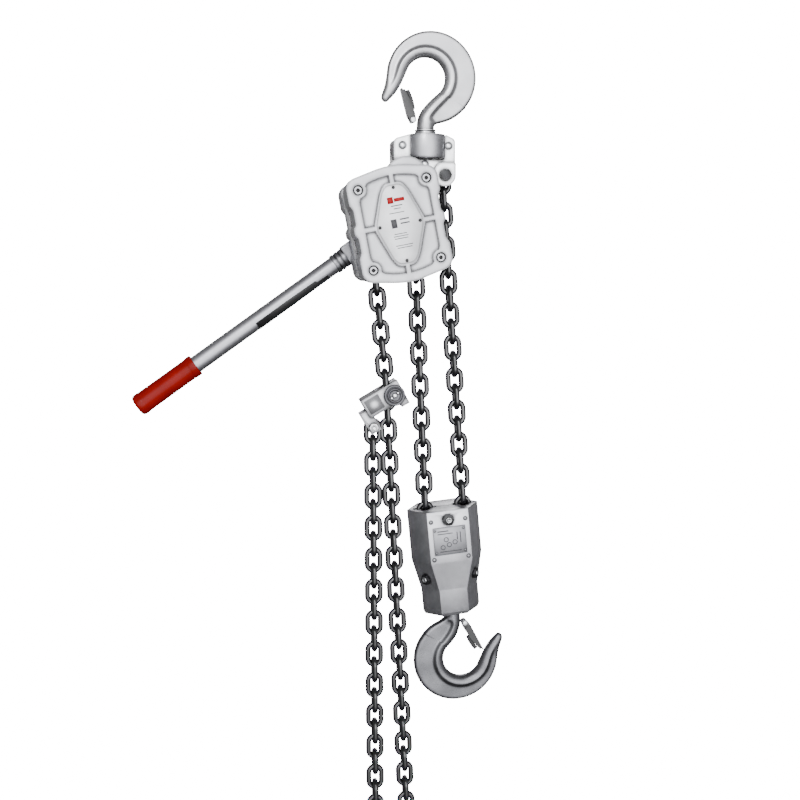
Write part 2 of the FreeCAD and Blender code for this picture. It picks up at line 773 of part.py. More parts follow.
def shield_outline(inset=0):
    """The raised name panel: a long six-sided shield with rounded corners."""
    quarter = [(43.5 - inset, 5.5, 7), (25 - inset * 0.8, 55, 16), (15 - inset * 0.5, 71 - inset, 14)]
    upper = quarter + [(-x, y, r) for x, y, r in reversed(quarter)]
    return upper + [(-x, -y, r) for x, y, r in upper]


def cover_field(inset, low, depth):
    """Four quadrants between the rim, the ribs and the shield, drawn in by the inset."""
    quarter = [(62 - inset, 50, 12), (44, 78 - inset, 12)]
    mirrored = [(-x, y, r) for x, y, r in reversed(quarter)]
    upper = quarter + [(0, 90 - inset, 138)] + mirrored
    rim = upper + [(-x, -y, r) for x, y, r in upper]
    rib = 7 + 2 * inset
    field = outline_face(rim).extrude(Vector(0, 0, depth))
    field = field.cut(outline_face(shield_outline(-inset)).extrude(Vector(0, 0, depth)))
    field = field.cut(Part.makeBox(rib, 300, depth, Vector(-rib / 2, -150, 0)))
    field = field.cut(Part.makeBox(300, rib, depth, Vector(-150, -rib / 2, 0)))
    for x, y in bolt_places():
        field = field.cut(Part.makeCylinder(13.5 + inset, depth, Vector(x, y, 0)))
    field.translate(Vector(0, 0, low))
    return field


def cover_recess():
    """What is cast away from the cover's face, with a stepped wall all round each quadrant."""
    depth = size("recess_depth")
    face = size("cover_depth")
    wide = cover_field(0, face - depth / 2, depth)
    return wide.fuse(cover_field(size("recess_step"), face - depth, depth))


def gear_cover():
    place = upright(CASE_FRONT, TILT, MAIN)
    body = new_body("cover_blank", place)
    outline = new_sketch(body, "cover_outline")
    draw_outline(outline, case_outline())
    pad(body, outline, "cover_depth")
    inside = new_sketch(body, "cover_cavity", size("cover_inside"))
    draw_outline(inside, cavity_outline())
    pocket(body, inside, "Dims.cover_inside")
    bores = new_sketch(body, "cover_bores", size("cover_depth"))
    for x, y in bolt_places():
        draw_circle(bores, x, y, "counterbore_radius")
    pocket(body, bores, "Dims.counterbore_depth")
    holes = new_sketch(body, "cover_holes", size("cover_depth"))
    for x, y in bolt_places():
        draw_circle(holes, x, y, "cover_bolt_radius")
    pocket(body, holes, "Dims.cover_depth")
    tool = doc.addObject("Part::Feature", "cover_recesses")
    tool.Shape = cover_recess()
    tool.Placement = place
    cut = doc.addObject("Part::Cut", "gear_cover")
    cut.Base = body
    cut.Tool = tool
    cut.Label = "gear_cover"
    doc.recompute()


def cover_bolts():
    """Four socket-head bolts, their heads sunk in the cover's counterbores."""
    seat = COVER_FRONT + size("counterbore_depth")
    solids = []
    for x, y in bolt_places():
        at = upright(0, TILT, MAIN).multVec(Vector(x, y, 0))
        head = cylinder_y(at.x, at.z, size("cover_head_radius"), seat - 6.5, seat)
        head = head.cut(hex_prism(at.x, at.z, size("cover_socket"), seat - 7, seat - 2, TILT))
        shaft = cylinder_y(at.x, at.z, size("cover_bolt_radius"), seat, -PLATE_OUT - 2)
        solids.append(head.fuse(shaft).removeSplitter())
    group("cover_bolts", solids)


def nameplate():
    """The plain plate on the shield, with its four small rivets."""
    thickness = size("nameplate_thickness")
    place = upright(COVER_FRONT, TILT, MAIN)
    plate = prism(shield_outline(3.5), thickness, place)
    heads = []
    for x, y in ((0, 63), (0, -63), (35.5, 0), (-35.5, 0)):
        head = Part.makeCylinder(2.2, 0.8, Vector(x, y, thickness))
        head.Placement = place
        heads.append(head)
    group("nameplate", [plate] + heads)


def centre_casing():
    """Closes the edge between the two side plates, open below where the chain comes out."""
    place = upright(PLATE_IN, TILT, MAIN)
    outside = [
        (64, -90, 18), (66, 70, 18), (40, 88, 20), (-50, 88, 20),
        (-76, 74, 18), (-76, -74, 18), (-60, -94, 18),
    ]
    inside = [
        (58, -84, 12), (60, 66, 12), (36, 82, 14), (-48, 82, 14),
        (-70, 70, 12), (-70, -70, 12), (-56, -88, 12),
    ]
    shell = prism(outside, 2 * PLATE_IN, place).cut(prism(inside, 2 * PLATE_IN, place))
    for x in (MAIN.x - SHEAVE_PITCH + 8, MAIN.x + SHEAVE_PITCH + 5):
        shell = shell.cut(Part.makeBox(42, 2 * PLATE_IN, 70, Vector(x - 21, -PLATE_IN, MAIN.z - 130)))
    shell = shell.cut(Part.makeBox(60, 2 * PLATE_IN, 70, Vector(-2, -PLATE_IN, MAIN.z - 130)))
    biggest = max(shell.Solids, key=lambda solid: solid.Volume)
    feature("centre_casing", biggest)


def chain_stripper():
    """A finger in the sheave's groove that lifts the chain off."""
    finger = [(-11, -79, 2), (11, -79, 2), (9, -26, 2), (-9, -26, 2)]
    foot = cylinder_y(MAIN.x, MAIN.z - 66, 5, -PLATE_IN, PLATE_IN)
    feature("chain_stripper", prism(finger, 9, upright(4.5, 0, MAIN)).fuse(foot).removeSplitter())


def body_bushes():
    """The sheave's two bearing rings and the three bronze bushes in the gear cover."""
    gap = size("running_gap")
    rings = []
    for low in (-PLATE_OUT, PLATE_IN):
        rings.append(ring_y(MAIN.x, MAIN.z, size("bearing_radius"), size("hub_radius") + gap, low, low + 6))
    shaft = size("idler_shaft_radius")
    back = COVER_FRONT + size("cover_depth") - size("cover_inside")
    for at in gear_places() + [MAIN]:
        rings.append(ring_y(at.x, at.z, shaft + 4, shaft + gap, back, back + 12))
    group("body_bushes", rings)


# ---------------------------------------------------------------- gears and sheave

def involute_gear(teeth, phase, y_low, y_high, centre):
    """A spur gear along Y with one tooth at the phase angle."""
    module = size("gear_module")
    pressure = math.radians(size("pressure_angle"))
    pitch = module * teeth / 2
    base = pitch * math.cos(pressure)
    tip = pitch + module
    root = pitch - 1.25 * module
    spread = math.tan(pressure) - pressure
    half_tooth = math.pi / (2 * teeth) - size("gear_backlash") / (2 * pitch)

    def flank_angle(radius):
        roll = math.acos(min(1, base / radius))
        return half_tooth + spread - (math.tan(roll) - roll)

    start = max(base, root + 0.01)
    radii = [start + (tip - start) * step / 4 for step in range(5)]
    edges = []
    step_angle = 2 * math.pi / teeth

    def at(radius, angle):
        return Vector(radius * math.cos(angle), radius * math.sin(angle), 0)

    for tooth in range(teeth):
        middle = math.radians(phase) + tooth * step_angle
        rising = [at(r, middle - flank_angle(r)) for r in radii]
        falling = [at(r, middle + flank_angle(r)) for r in reversed(radii)]
        foot_in = at(root, middle - flank_angle(start))
        foot_out = at(root, middle + flank_angle(start))
        next_foot = at(root, middle + step_angle - flank_angle(start))
        for flank in (rising, falling):
            curve = Part.BSplineCurve()
            curve.interpolate(flank)
            if flank is falling:
                edges.append(Part.Arc(rising[-1], at(tip, middle), falling[0]).toShape())
            elif (foot_in - rising[0]).Length > 0.001:
                edges.append(Part.makeLine(foot_in, rising[0]))
            edges.append(curve.toShape())
        edges.append(Part.makeLine(falling[-1], foot_out))
        bottom = at(root, middle + step_angle / 2)
        edges.append(Part.Arc(foot_out, bottom, next_foot).toShape())
    solid = Part.Face(Part.Wire(edges)).extrude(Vector(0, 0, y_high - y_low))
    solid.Placement = facing(centre.x, y_high, centre.z)
    return solid


SHAFT_FRONT = COVER_FRONT + size("cover_depth") - size("cover_inside") + 0.4
LOAD_GEAR_Y = -50
FIRST_GEAR_Y = -70
FIRST_GEAR_END = FIRST_GEAR_Y + size("first_gear_width")


def load_gear():
    top = LOAD_GEAR_Y + size("load_gear_width")
    gear = involute_gear(36, size("gear_line"), LOAD_GEAR_Y, top, MAIN)
    feature("load_gear", gear.cut(cylinder_y(MAIN.x, MAIN.z, size("hub_radius"), LOAD_GEAR_Y - 1, top + 1)))


def intermediate_gear(name, centre, toward):
    """One forging: a wheel that the drive pinion turns, and a pinion that turns the load gear."""
    half_pinion = 180 / size("pinion_teeth")
    half_wheel = 180 / size("wheel_teeth")
    wheel = involute_gear(36, toward + half_wheel, FIRST_GEAR_Y, FIRST_GEAR_END, centre)
    pinion_end = LOAD_GEAR_Y + size("load_gear_width") + 1
    pinion = involute_gear(12, toward + half_pinion, LOAD_GEAR_Y - 4.5, pinion_end, centre)
    shaft = cylinder_y(centre.x, centre.z, size("idler_shaft_radius"), SHAFT_FRONT, -PLATE_IN - 0.5)
    feature(name, wheel.multiFuse([pinion, shaft]).removeSplitter())


def drive_shaft():
    """Runs through the sheave from the drive pinion at the front to the hand wheel at the back."""
    pinion = involute_gear(12, size("gear_line"), FIRST_GEAR_Y - 1, FIRST_GEAR_END + 1, MAIN)
    journal = cylinder_y(MAIN.x, MAIN.z, size("idler_shaft_radius"), SHAFT_FRONT, -60)
    bore = size("sheave_bore") - size("running_gap")
    middle = cylinder_y(MAIN.x, MAIN.z, bore, FIRST_GEAR_END + 1, 30)
    tail = cylinder_y(MAIN.x, MAIN.z, SHAFT_TAIL, 29, size("wheel_y") + size("wheel_depth") + 8)
    feature("drive_shaft", pinion.multiFuse([journal, middle, tail]).removeSplitter())


def load_sheave():
    """A pocket wheel: four pockets for the flat links and a groove for the standing ones."""
    half = size("sheave_width") / 2
    wheel = cylinder_y(MAIN.x, MAIN.z, size("sheave_radius"), -half, half)
    wheel = wheel.cut(ring_y(MAIN.x, MAIN.z, 80, 20.5, -WIRE - 1.2, WIRE + 1.2))
    floor = math.sqrt(SHEAVE_PITCH ** 2 - (LONG_CHORD / 2) ** 2) - WIRE - 0.5
    reach = LONG_CHORD / 2 + WIRE + 0.9
    width = size("link_width") / 2 + 0.8
    corner = width - 0.1
    stadium = [
        (reach, -width, corner), (reach, width, corner), (-reach, width, corner), (-reach, -width, corner),
    ]
    for step in range(4):
        angle = size("sheave_phase") + 45 + 90 * step
        pocket_solid = outline_face(stadium).extrude(Vector(0, 0, 40))
        turn = Rotation(Y_AXIS, 90 - angle)
        pocket_solid.Placement = Placement(polar(MAIN, floor, angle), turn)
        wheel = wheel.cut(pocket_solid)
    hubs = cylinder_y(MAIN.x, MAIN.z, size("hub_radius"), LOAD_GEAR_Y - 1.5, -half)
    back = cylinder_y(MAIN.x, MAIN.z, size("hub_radius"), half, PLATE_OUT + 3)
    core = cylinder_y(MAIN.x, MAIN.z, 20.5, -half, half)
    wheel = wheel.multiFuse([hubs, back, core]).removeSplitter()
    feature("load_sheave", wheel.cut(cylinder_y(MAIN.x, MAIN.z, size("sheave_bore"), -90, 60)))


# ---------------------------------------------------------------- load brake

BRAKE_Y = 30.5
RATCHET_Y = 41


def brake_hub():
    disc = ring_y(MAIN.x, MAIN.z, size("friction_radius") + 2, SHAFT_TAIL, BRAKE_Y, BRAKE_Y + 7)
    sleeve = ring_y(MAIN.x, MAIN.z, 17, SHAFT_TAIL, BRAKE_Y + 7, 52)
    feature("brake_hub", disc.fuse(sleeve).removeSplitter())


def friction_discs():
    thick = size("friction_thickness")
    lows = (BRAKE_Y + 7, RATCHET_Y + size("ratchet_thickness") + 0.2)
    outer = size("friction_radius")
    group("friction_discs", [ring_y(MAIN.x, MAIN.z, outer, 17, low, low + thick - 0.1) for low in lows])


def ratchet_disc():
    """A saw-toothed ring that the brake pawls hold when the load goes down."""
    teeth = int(size("ratchet_teeth"))
    step = 360 / teeth
    crest = size("ratchet_radius")
    points = []
    for tooth in range(teeth):
        start = tooth * step + RATCHET_PHASE
        for radius, turn in ((crest, 0), (crest, 2), (size("ratchet_root"), 4)):
            corner = polar(ORIGIN, radius, start + turn)
            points.append((corner.x, corner.z, 0))
    low = RATCHET_Y
    disc = prism(points, size("ratchet_thickness"), facing(MAIN.x, low + size("ratchet_thickness"), MAIN.z))
    feature("ratchet_disc", disc.cut(cylinder_y(MAIN.x, MAIN.z, 17 + size("running_gap"), low - 1, low + 20)))


def pawl_places():
    return [polar(MAIN, size("pawl_distance"), angle) for angle in PAWL_ANGLES]


def brake_pawl(name, angle):
    """Its nose rides on the ratchet's crests."""
    corners = []
    for radius, turn, rounding in ((66, 5, 4), (52.5, 8, 4), (44.7, -19, 0.8), (48.5, -21, 1), (64, -6, 5)):
        corner = polar(ORIGIN, radius, angle + turn)
        corners.append((corner.x, corner.z, rounding))
    pawl = prism(corners, 7, facing(MAIN.x, RATCHET_Y + 7.5, MAIN.z))
    at = polar(MAIN, size("pawl_distance"), angle)
    feature(name, pawl.cut(cylinder_y(at.x, at.z, size("pawl_pin_radius") + size("running_gap"), 0, 80)))


def pawl_pins():
    """The two pins pressed into the rear plate, each with its washer and spring coil."""
    solids = []
    for at in pawl_places():
        radius = size("pawl_pin_radius")
        pin = cylinder_y(at.x, at.z, radius, PLATE_OUT, 58)
        shoulder = cylinder_y(at.x, at.z, radius + 3, PLATE_OUT, RATCHET_Y - 0.3)
        solids.append(pin.fuse(shoulder).removeSplitter())
        solids.append(Part.makeTorus(radius + 1, 0.8, Vector(at.x, RATCHET_Y + 9, at.z), Y_AXIS))
    group("pawl_pins", solids)


def change_gear():
    """The pressure flange of the brake in one piece with the gear that the lever's pawl drives."""
    flange = ring_y(MAIN.x, MAIN.z, size("friction_radius") + 2, SHAFT_TAIL, 52.3, 60)
    sleeve = ring_y(MAIN.x, MAIN.z, 20, SHAFT_TAIL, 60, 78)
    teeth = 10
    outer = size("change_gear_radius")
    inner = outer - 5
    points = []
    for tooth in range(teeth):
        middle = 180 + size("lever_angle") + tooth * 360 / teeth
        for radius, turn in ((inner, -9), (outer, -6), (outer, 6), (inner, 9)):
            corner = polar(ORIGIN, radius, middle + turn)
            points.append((corner.x, corner.z, 0))
    gear = prism(points, 18, facing(MAIN.x, 95, MAIN.z))
    gear = gear.cut(cylinder_y(MAIN.x, MAIN.z, SHAFT_TAIL, 70, 100))
    feature("change_gear", flange.multiFuse([sleeve, gear]).removeSplitter())


def brake_cover():
    """The rear casing over the load brake, open towards the rear plate."""
    place = upright(PLATE_OUT + size("brake_cover_depth"), TILT, MAIN)
    body = new_body("brake_cover", place)
    outline = new_sketch(body, "brake_outline")
    draw_outline(outline, case_outline(2))
    pad(body, outline, "brake_cover_depth")
    inside = new_sketch(body, "brake_cavity", size("brake_cover_depth"))
    draw_outline(inside, cavity_outline())
    pocket(body, inside, "Dims.brake_cover_depth - Dims.brake_floor")
    bore = new_sketch(body, "brake_bore", size("brake_cover_depth"))
    draw_circle(bore, 0, 0, "hub_radius")
    pocket(body, bore, "Dims.brake_cover_depth")
    holes = new_sketch(body, "brake_holes", size("brake_cover_depth"))
    for x, y in bolt_places():
        draw_circle(holes, x, y, "cover_bolt_radius")
    pocket(body, holes, "Dims.brake_cover_depth")


def brake_cover_bolts():
    face = PLATE_OUT + size("brake_cover_depth")
    solids = []
    for x, y in bolt_places():
        at = upright(0, TILT, MAIN).multVec(Vector(x, y, 0))
        shaft = cylinder_y(at.x, at.z, size("cover_bolt_radius"), PLATE_OUT + 1, face)
        solids.append(shaft.fuse(cylinder_y(at.x, at.z, 6.5, face, face + 1.2)).removeSplitter())
    group("brake_cover_bolts", solids)


# ---------------------------------------------------------------- lever

LEVER_DIRECTION = polar(ORIGIN, 1, 180 + size("lever_angle"))
LEVER_SIDE = Y_AXIS.cross(LEVER_DIRECTION)
LEVER_TURN = Rotation(LEVER_SIDE, Y_AXIS, LEVER_DIRECTION, "ZXY")
LEVER_Y = size("lever_y")


def lever_point(distance, y=None):
    return MAIN + LEVER_DIRECTION * distance + Y_AXIS * (LEVER_Y if y is None else y)


def along_lever(distance):
    """Local z runs out along the lever; local x is towards its lower side."""
    return Placement(lever_point(distance), LEVER_TURN)


def lever_hub(name, y_low, y_high, bore):
    """One half of the lever's head: a round housing with an arm that clamps the tube."""
    radius = size("lever_hub_radius")
    disc = cylinder_y(MAIN.x, MAIN.z, radius, y_low, y_high)
    half_width = 20
    length = size("ferrule_start")
    arm = [(-half_width, 0, 0), (half_width, 0, 0), (half_width, length, 5), (-half_width, length, 5)]
    turn = front_rotation(size("lever_angle") + 90)
    housing = disc.fuse(prism(arm, y_high - y_low, Placement(Vector(MAIN.x, y_high, MAIN.z), turn)))
    wall = 4
    inner_low = y_low + wall if y_low < LEVER_Y - 1 else y_low - 1
    inner_high = y_high + 1 if y_low < LEVER_Y - 1 else y_high - wall
    housing = housing.removeSplitter().cut(cylinder_y(MAIN.x, MAIN.z, radius - 4, inner_low, inner_high))
    slot = [(-18, 0, 0), (18, 0, 0), (18, 50, 4), (13, 64, 4), (-13, 64, 4), (-18, 50, 4)]
    slot_place = Placement(Vector(MAIN.x, inner_high, MAIN.z), turn)
    housing = housing.cut(prism(slot, inner_high - inner_low, slot_place))
    housing = housing.cut(cylinder_y(MAIN.x, MAIN.z, bore, y_low - 1, y_high + 1))
    socket = Part.makeCylinder(size("tube_radius"), 80, lever_point(60), LEVER_DIRECTION)
    housing = housing.cut(socket)
    at = lever_point(size("selector_distance"))
    housing = housing.cut(cylinder_y(at.x, at.z, 4 + size("running_gap"), y_low - 1, y_high + 1))
    feature(name, housing)


def lever_hubs():
    half = size("hub_half_depth")
    lever_hub("lever_hub_front", LEVER_Y - half, LEVER_Y, 20.3)
    lever_hub("lever_hub_rear", LEVER_Y, LEVER_Y + half, SHAFT_TAIL + size("running_gap"))


def lever_screws():
    """Short pan-head screws on the rear of the lever's head."""
    face = LEVER_Y + size("hub_half_depth")
    solids = []
    for angle in (60, 150, 240, 330):
        at = polar(MAIN, 43.2, 180 + size("lever_angle") + angle + 15)
        solids.append(cylinder_y(at.x, at.z, 3.2, face, face + 1.5))
    group("lever_screws", solids)


def lever_tube():
    ring_body("lever_tube", along_lever(size("tube_start")), "tube_radius", "tube_bore", "tube_length")


def ferrule():
    """The grooved ring at the tube's root."""
    outer = size("ferrule_radius")
    inner = size("tube_radius")
    length = size("ferrule_end") - size("ferrule_start")
    profile = [
        (inner, 0, 0), (outer, 0, 0), (outer, 7, 0.3), (outer - 1.2, 7.6, 0.3), (outer - 1.2, 9.4, 0.3),
        (outer, 10, 0.3), (outer, 16, 0.3), (outer - 1.2, 16.6, 0.3), (outer - 1.2, 18.4, 0.3),
        (outer, 19, 0.3), (outer, length, 0.8), (inner, length, 0),
    ]
    turned_body("lever_ferrule", along_lever(size("ferrule_start")), profile)


def grip():
    """The plastic grip, with a lip at its inner end and a rounded outer end."""
    outer = size("grip_radius")
    inner = size("tube_radius")
    length = size("grip_end") - size("grip_start")
    tube_end = size("tube_start") + size("tube_length") - size("grip_start")
    profile = [
        (inner, 0, 0), (outer, 0, 1.5), (outer, 5, 1), (outer - 1, 6, 1), (outer - 1, length - 18, 30),
        (outer, length - 10, 6), (outer - 1, length, 6), (0, length, 0), (0, tube_end, 0),
        (inner, tube_end, 0),
    ]
    turned_body("lever_grip", along_lever(size("grip_start")), profile)


def strip_piece(start, end, width, thickness):
    """Part of a thin shell on the tube, this wide across, along its lower front side."""
    bore = size("tube_radius")
    shell = Part.makeCylinder(bore + thickness, end - start, Vector(0, 0, start))
    shell = shell.cut(Part.makeCylinder(bore, end - start, Vector(0, 0, start)))
    wedge = Part.makeBox(30, width, end - start, Vector(0, -width / 2, start))
    wedge.rotate(ORIGIN, Z_AXIS, STRIP_SIDE)
    return shell.common(wedge)


def lever_strip():
    """A dark strip bonded along the tube's lower side, with a slimmer tail towards the hoist."""
    start = size("strip_start")
    strip = strip_piece(start, size("strip_end"), 15, 1.8)
    tail = strip_piece(start - 26, start, 8, 1.2)
    feature("lever_strip", strip.fuse(tail).removeSplitter(), along_lever(0))


def selector():
    """The two-way pawl inside the lever's head, with its shaft and outside knob."""
    place = Placement(Vector(MAIN.x, 95, MAIN.z), front_rotation(size("lever_angle") + 90))
    pawl = [
        (-16.6, 29.7, 0.6), (-14, 28.1, 0.6), (0, 38.5, 2), (14, 28.1, 0.6), (16.6, 29.7, 0.6),
        (12.8, 35, 2), (11.5, 44, 4), (7, 60, 6), (-7, 60, 6), (-11.5, 44, 4), (-12.8, 35, 2),
    ]
    at = lever_point(size("selector_distance"))
    back = LEVER_Y + size("hub_half_depth")
    shaft = cylinder_y(at.x, at.z, 4, LEVER_Y - size("hub_half_depth") + 0.5, back + 3)
    solid = prism(pawl, 18, place).fuse(shaft)
    knob = [(-6, -6, 4), (6, -6, 4), (5, 24, 4), (-5, 24, 4)]
    knob_place = Placement(Vector(at.x, back + 11, at.z), front_rotation(size("lever_angle") + 90))
    solid = solid.fuse(prism(knob, 10.4, knob_place)).removeSplitter()
    feature("selector_pawl", solid)


def hand_wheel():
    """A scalloped wheel on the drive shaft, for pulling the free chain through."""
    low = size("wheel_y")
    depth = size("wheel_depth")
    radius = size("wheel_radius")
    wheel = cylinder_y(MAIN.x, MAIN.z, radius, low, low + depth)
    wheel = wheel.cut(ring_y(MAIN.x, MAIN.z, radius - 12, 17, low + 6, low + depth + 1))
    for step in range(8):
        at = polar(MAIN, radius + 12, 45 * step)
        wheel = wheel.cut(cylinder_y(at.x, at.z, 17, low - 1, low + depth + 1))
    feature("hand_wheel", wheel.cut(cylinder_y(MAIN.x, MAIN.z, SHAFT_TAIL, low - 1, low + depth + 1)))
    nut = hex_prism(MAIN.x, MAIN.z, 30, low + depth, low + depth + 7)
    feature("hand_wheel_nut", nut.cut(cylinder_y(MAIN.x, MAIN.z, SHAFT_TAIL, low, low + depth + 8)))


# ---------------------------------------------------------------- lower block

def block_place(height=0):
    """Local x right, local y to the back, local z up the block's own axis."""
    return Placement(block_point(height), Rotation(Y_AXIS, -size("block_tilt")))


def block_section(face, side, depth, height):
    points = [(face, -depth), (side, 0), (face, depth), (-face, depth), (-side, 0), (-face, -depth)]
    corners = [Vector(x, y, height) for x, y in points]
    return Part.makePolygon(corners + corners[:1])


def block_outside():
    low = (size("block_low_face"), size("block_low_side"), size("block_low_depth"))
    high = (size("block_face"), size("block_side"), size("block_half_depth"))
    rim = size("block_rim")
    foot = tuple(value - rim for value in low)
    levels = [(foot, 0), (low, 2 * rim), (low, size("block_taper_low"))]
    levels += [(high, size("block_taper_high")), (high, size("block_height"))]
    solids = []
    for (first, z_first), (second, z_second) in zip(levels, levels[1:]):
        wires = [block_section(*first, z_first), block_section(*second, z_second)]
        solids.append(Part.makeLoft(wires, True, True))
    return solids[0].multiFuse(solids[1:]).removeSplitter()


def block_inside():
    """Room for the idler sheave and its chain, for the hook nut, and the two cross-shaped chain slots."""
    centre = IDLER_HEIGHT
    reach = size("idler_radius")
    roof = size("block_height") - 9
    solids = []
    for half_depth, half_width in ((20.5, 48), (8, 57)):
        solids.append(Part.makeCylinder(half_width, 2 * half_depth, Vector(0, -half_depth, centre), Y_AXIS))
        corner = Vector(-half_width, -half_depth, centre)
        solids.append(Part.makeBox(2 * half_width, 2 * half_depth, roof - centre, corner))
    for x in (3 - reach, 3 + reach):
        solids.append(Part.makeBox(42, 14.5, 60, Vector(x - 21, -7.25, size("block_height") - 30)))
        solids.append(Part.makeBox(16, 40, 60, Vector(x - 8, -20, size("block_height") - 30)))
    shank = size("lower_shank_radius")
    solids.append(Part.makeCylinder(shank + size("running_gap"), 60, Vector(0, 0, -10)))
    solids.append(Part.makeCylinder(shank + size("nut_wall") + 2, 50, Vector(0, 0, 37)))
    return solids


BLOCK_BOLT_HEIGHT = 185
SIDE_BOLT_HEIGHT = 71


def block_shells():
    whole = block_outside()
    for tool in block_inside():
        whole = whole.cut(tool)
    whole = whole.cut(Part.makeCylinder(6, 120, Vector(0, -60, BLOCK_BOLT_HEIGHT), Y_AXIS))
    whole = whole.cut(Part.makeCylinder(IDLER_AXLE, 80, Vector(0, -40, IDLER_HEIGHT), Y_AXIS))
    for side in (-1, 1):
        for front in (-1, 1):
            whole = whole.cut(side_bolt(side, front))
    front = whole.common(Part.makeBox(200, 100, 300, Vector(-100, -100, -10)))
    rear = whole.common(Part.makeBox(200, 100, 300, Vector(-100, 0, -10)))
    feature("block_shell_front", max(front.Solids, key=lambda solid: solid.Volume), block_place())
    feature("block_shell_rear", max(rear.Solids, key=lambda solid: solid.Volume), block_place())


def block_bolts():
    """The cross bolt with its nut, and a hex-head bolt in each slanting flank."""
    depth = size("block_half_depth")
    shaft = Part.makeCylinder(6, 2 * depth + 10, Vector(0, -depth - 9, BLOCK_BOLT_HEIGHT), Y_AXIS)
    hexes = []
    for y in (-depth - 8, depth):
        solid = outline_face(hexagon(19)).extrude(Vector(0, 0, 8))
        solid.Placement = Placement(Vector(0, y + 8, BLOCK_BOLT_HEIGHT), Rotation(X_AXIS, 90))
        hexes.append(solid)
    solids = [shaft.multiFuse(hexes).removeSplitter()]
    for side in (-1, 1):
        for front in (-1, 1):
            solids.append(side_bolt(side, front))
    feature("block_bolts", Part.makeCompound(solids), block_place())


def side_bolt(side, front):
    """A hex head standing on the middle of one flank of the tapering part."""
    taper = size("block_taper_high") - size("block_taper_low")
    share = (SIDE_BOLT_HEIGHT - size("block_taper_low")) / taper
    face = size("block_low_face") + share * (size("block_face") - size("block_low_face"))
    width = size("block_low_side") + share * (size("block_side") - size("block_low_side"))
    depth = size("block_low_depth") + share * (size("block_half_depth") - size("block_low_depth"))
    middle = Vector(side * (face + width) / 2, front * depth / 2, SIDE_BOLT_HEIGHT)
    outward = Vector(side * depth, front * (width - face), 0).normalize()
    up = Z_AXIS - outward * Z_AXIS.dot(outward)
    turn = Rotation(up.cross(outward), up, outward, "ZXY")
    head = outline_face(hexagon(17)).extrude(Vector(0, 0, 8))
    head.Placement = Placement(middle - outward * 1.5, turn)
    return head


def block_rivets():
    """The label plate on the front face, its four small rivets and the four casing rivets."""
    depth = size("block_half_depth")
    plate = Part.makeBox(60, 1.2, 51, Vector(-30, -depth - 1.2, 120))
    solids = [plate]
    for x in (-32, 32):
        for z, radius in ((183, 4.2), (112.5, 4.2)):
            solids.append(dome(x, z, radius, -depth))
        for z in (125, 166):
            solids.append(dome(x * 0.83, z, 2.2, -depth - 1.2))
    feature("block_label", Part.makeCompound(solids), block_place())


def dome(x, z, radius, y):
    rise = radius * 0.55
    ball = (radius * radius + rise * rise) / (2 * rise)
    sphere = Part.makeSphere(ball, Vector(x, y + ball - rise, z))
    return sphere.common(Part.makeBox(40, 20, 40, Vector(x - 20, y - 20, z - 20)))


def idler():
    """A plain grooved sheave: flat links lie on its rims, standing links drop into the groove."""
    radius = size("idler_radius")
    rim = math.sqrt(radius ** 2 - (LONG_CHORD / 2) ** 2) - WIRE - 1
    groove = math.sqrt(radius ** 2 - (SHORT_CHORD / 2) ** 2) - size("link_width") / 2 - 1
    centre = FALL_CENTRE
    wheel = cylinder_y(centre.x, centre.z, rim, -19, 19)
    wheel = wheel.cut(ring_y(centre.x, centre.z, 60, groove, -WIRE - 1.3, WIRE + 1.3))
    wheel = wheel.cut(cylinder_y(centre.x, centre.z, IDLER_AXLE + size("running_gap"), -30, 30))
    feature("idler_sheave", wheel)
    axle = cylinder_y(centre.x, centre.z, IDLER_AXLE, -38, 38)
    feature("idler_axle", axle)


# ---------------------------------------------------------------- slack-end clip

CLIP_CENTRE = Vector(size("clip_x"), 0, size("clip_z"))


def clip_local(x, y, z):
    """A point from the clip's own axes: x along the housing, y back, z across it."""
    return Placement(CLIP_CENTRE, Rotation(Y_AXIS, -size("clip_tilt"))).multVec(Vector(x, y, z))


def clip_body():
    """The housing that the slack chain runs through, with the two cheeks that hold the chain's end."""
    length = size("clip_length")
    height = size("clip_height")
    depth = size("clip_depth")
    place = Placement(CLIP_CENTRE, Rotation(Y_AXIS, -size("clip_tilt")))
    solids = [Part.makeBox(length, depth, height, Vector(-length / 2, -depth / 2, -height / 2))]
    foot = Vector(length / 2 - 16.5, -depth / 2 + 5, -height / 2 - 12)
    solids.append(Part.makeBox(16.5, depth - 8, 20, foot))
    bolt = place.inverse().multVec(CLIP_BOLT)
    for low in (-15, 8):
        solids.append(Part.makeBox(21, 7, 44, Vector(bolt.x - 10, low, bolt.z - 10)))
    whole = solids[0].multiFuse(solids[1:])
    whole.Placement = place
    pivots = [SLACK_PIVOTS[9], SLACK_PIVOTS[13]]
    along = (pivots[1] - pivots[0]).normalize()
    middle = pivots[0] + along * (CLIP_CENTRE - pivots[0]).dot(along)
    lean = math.degrees(math.atan2(along.x, along.z))
    for width, deep in ((42, 14), (14, 38)):
        tool = Part.makeBox(width, deep, 110, Vector(-width / 2, -deep / 2, -55))
        tool.Placement = Placement(middle, Rotation(Y_AXIS, lean))
        whole = whole.cut(tool)
    whole = whole.cut(cylinder_y(CLIP_BOLT.x, CLIP_BOLT.z, 6, -40, 40))
    feature("clip_housing", max(whole.Solids, key=lambda solid: solid.Volume))


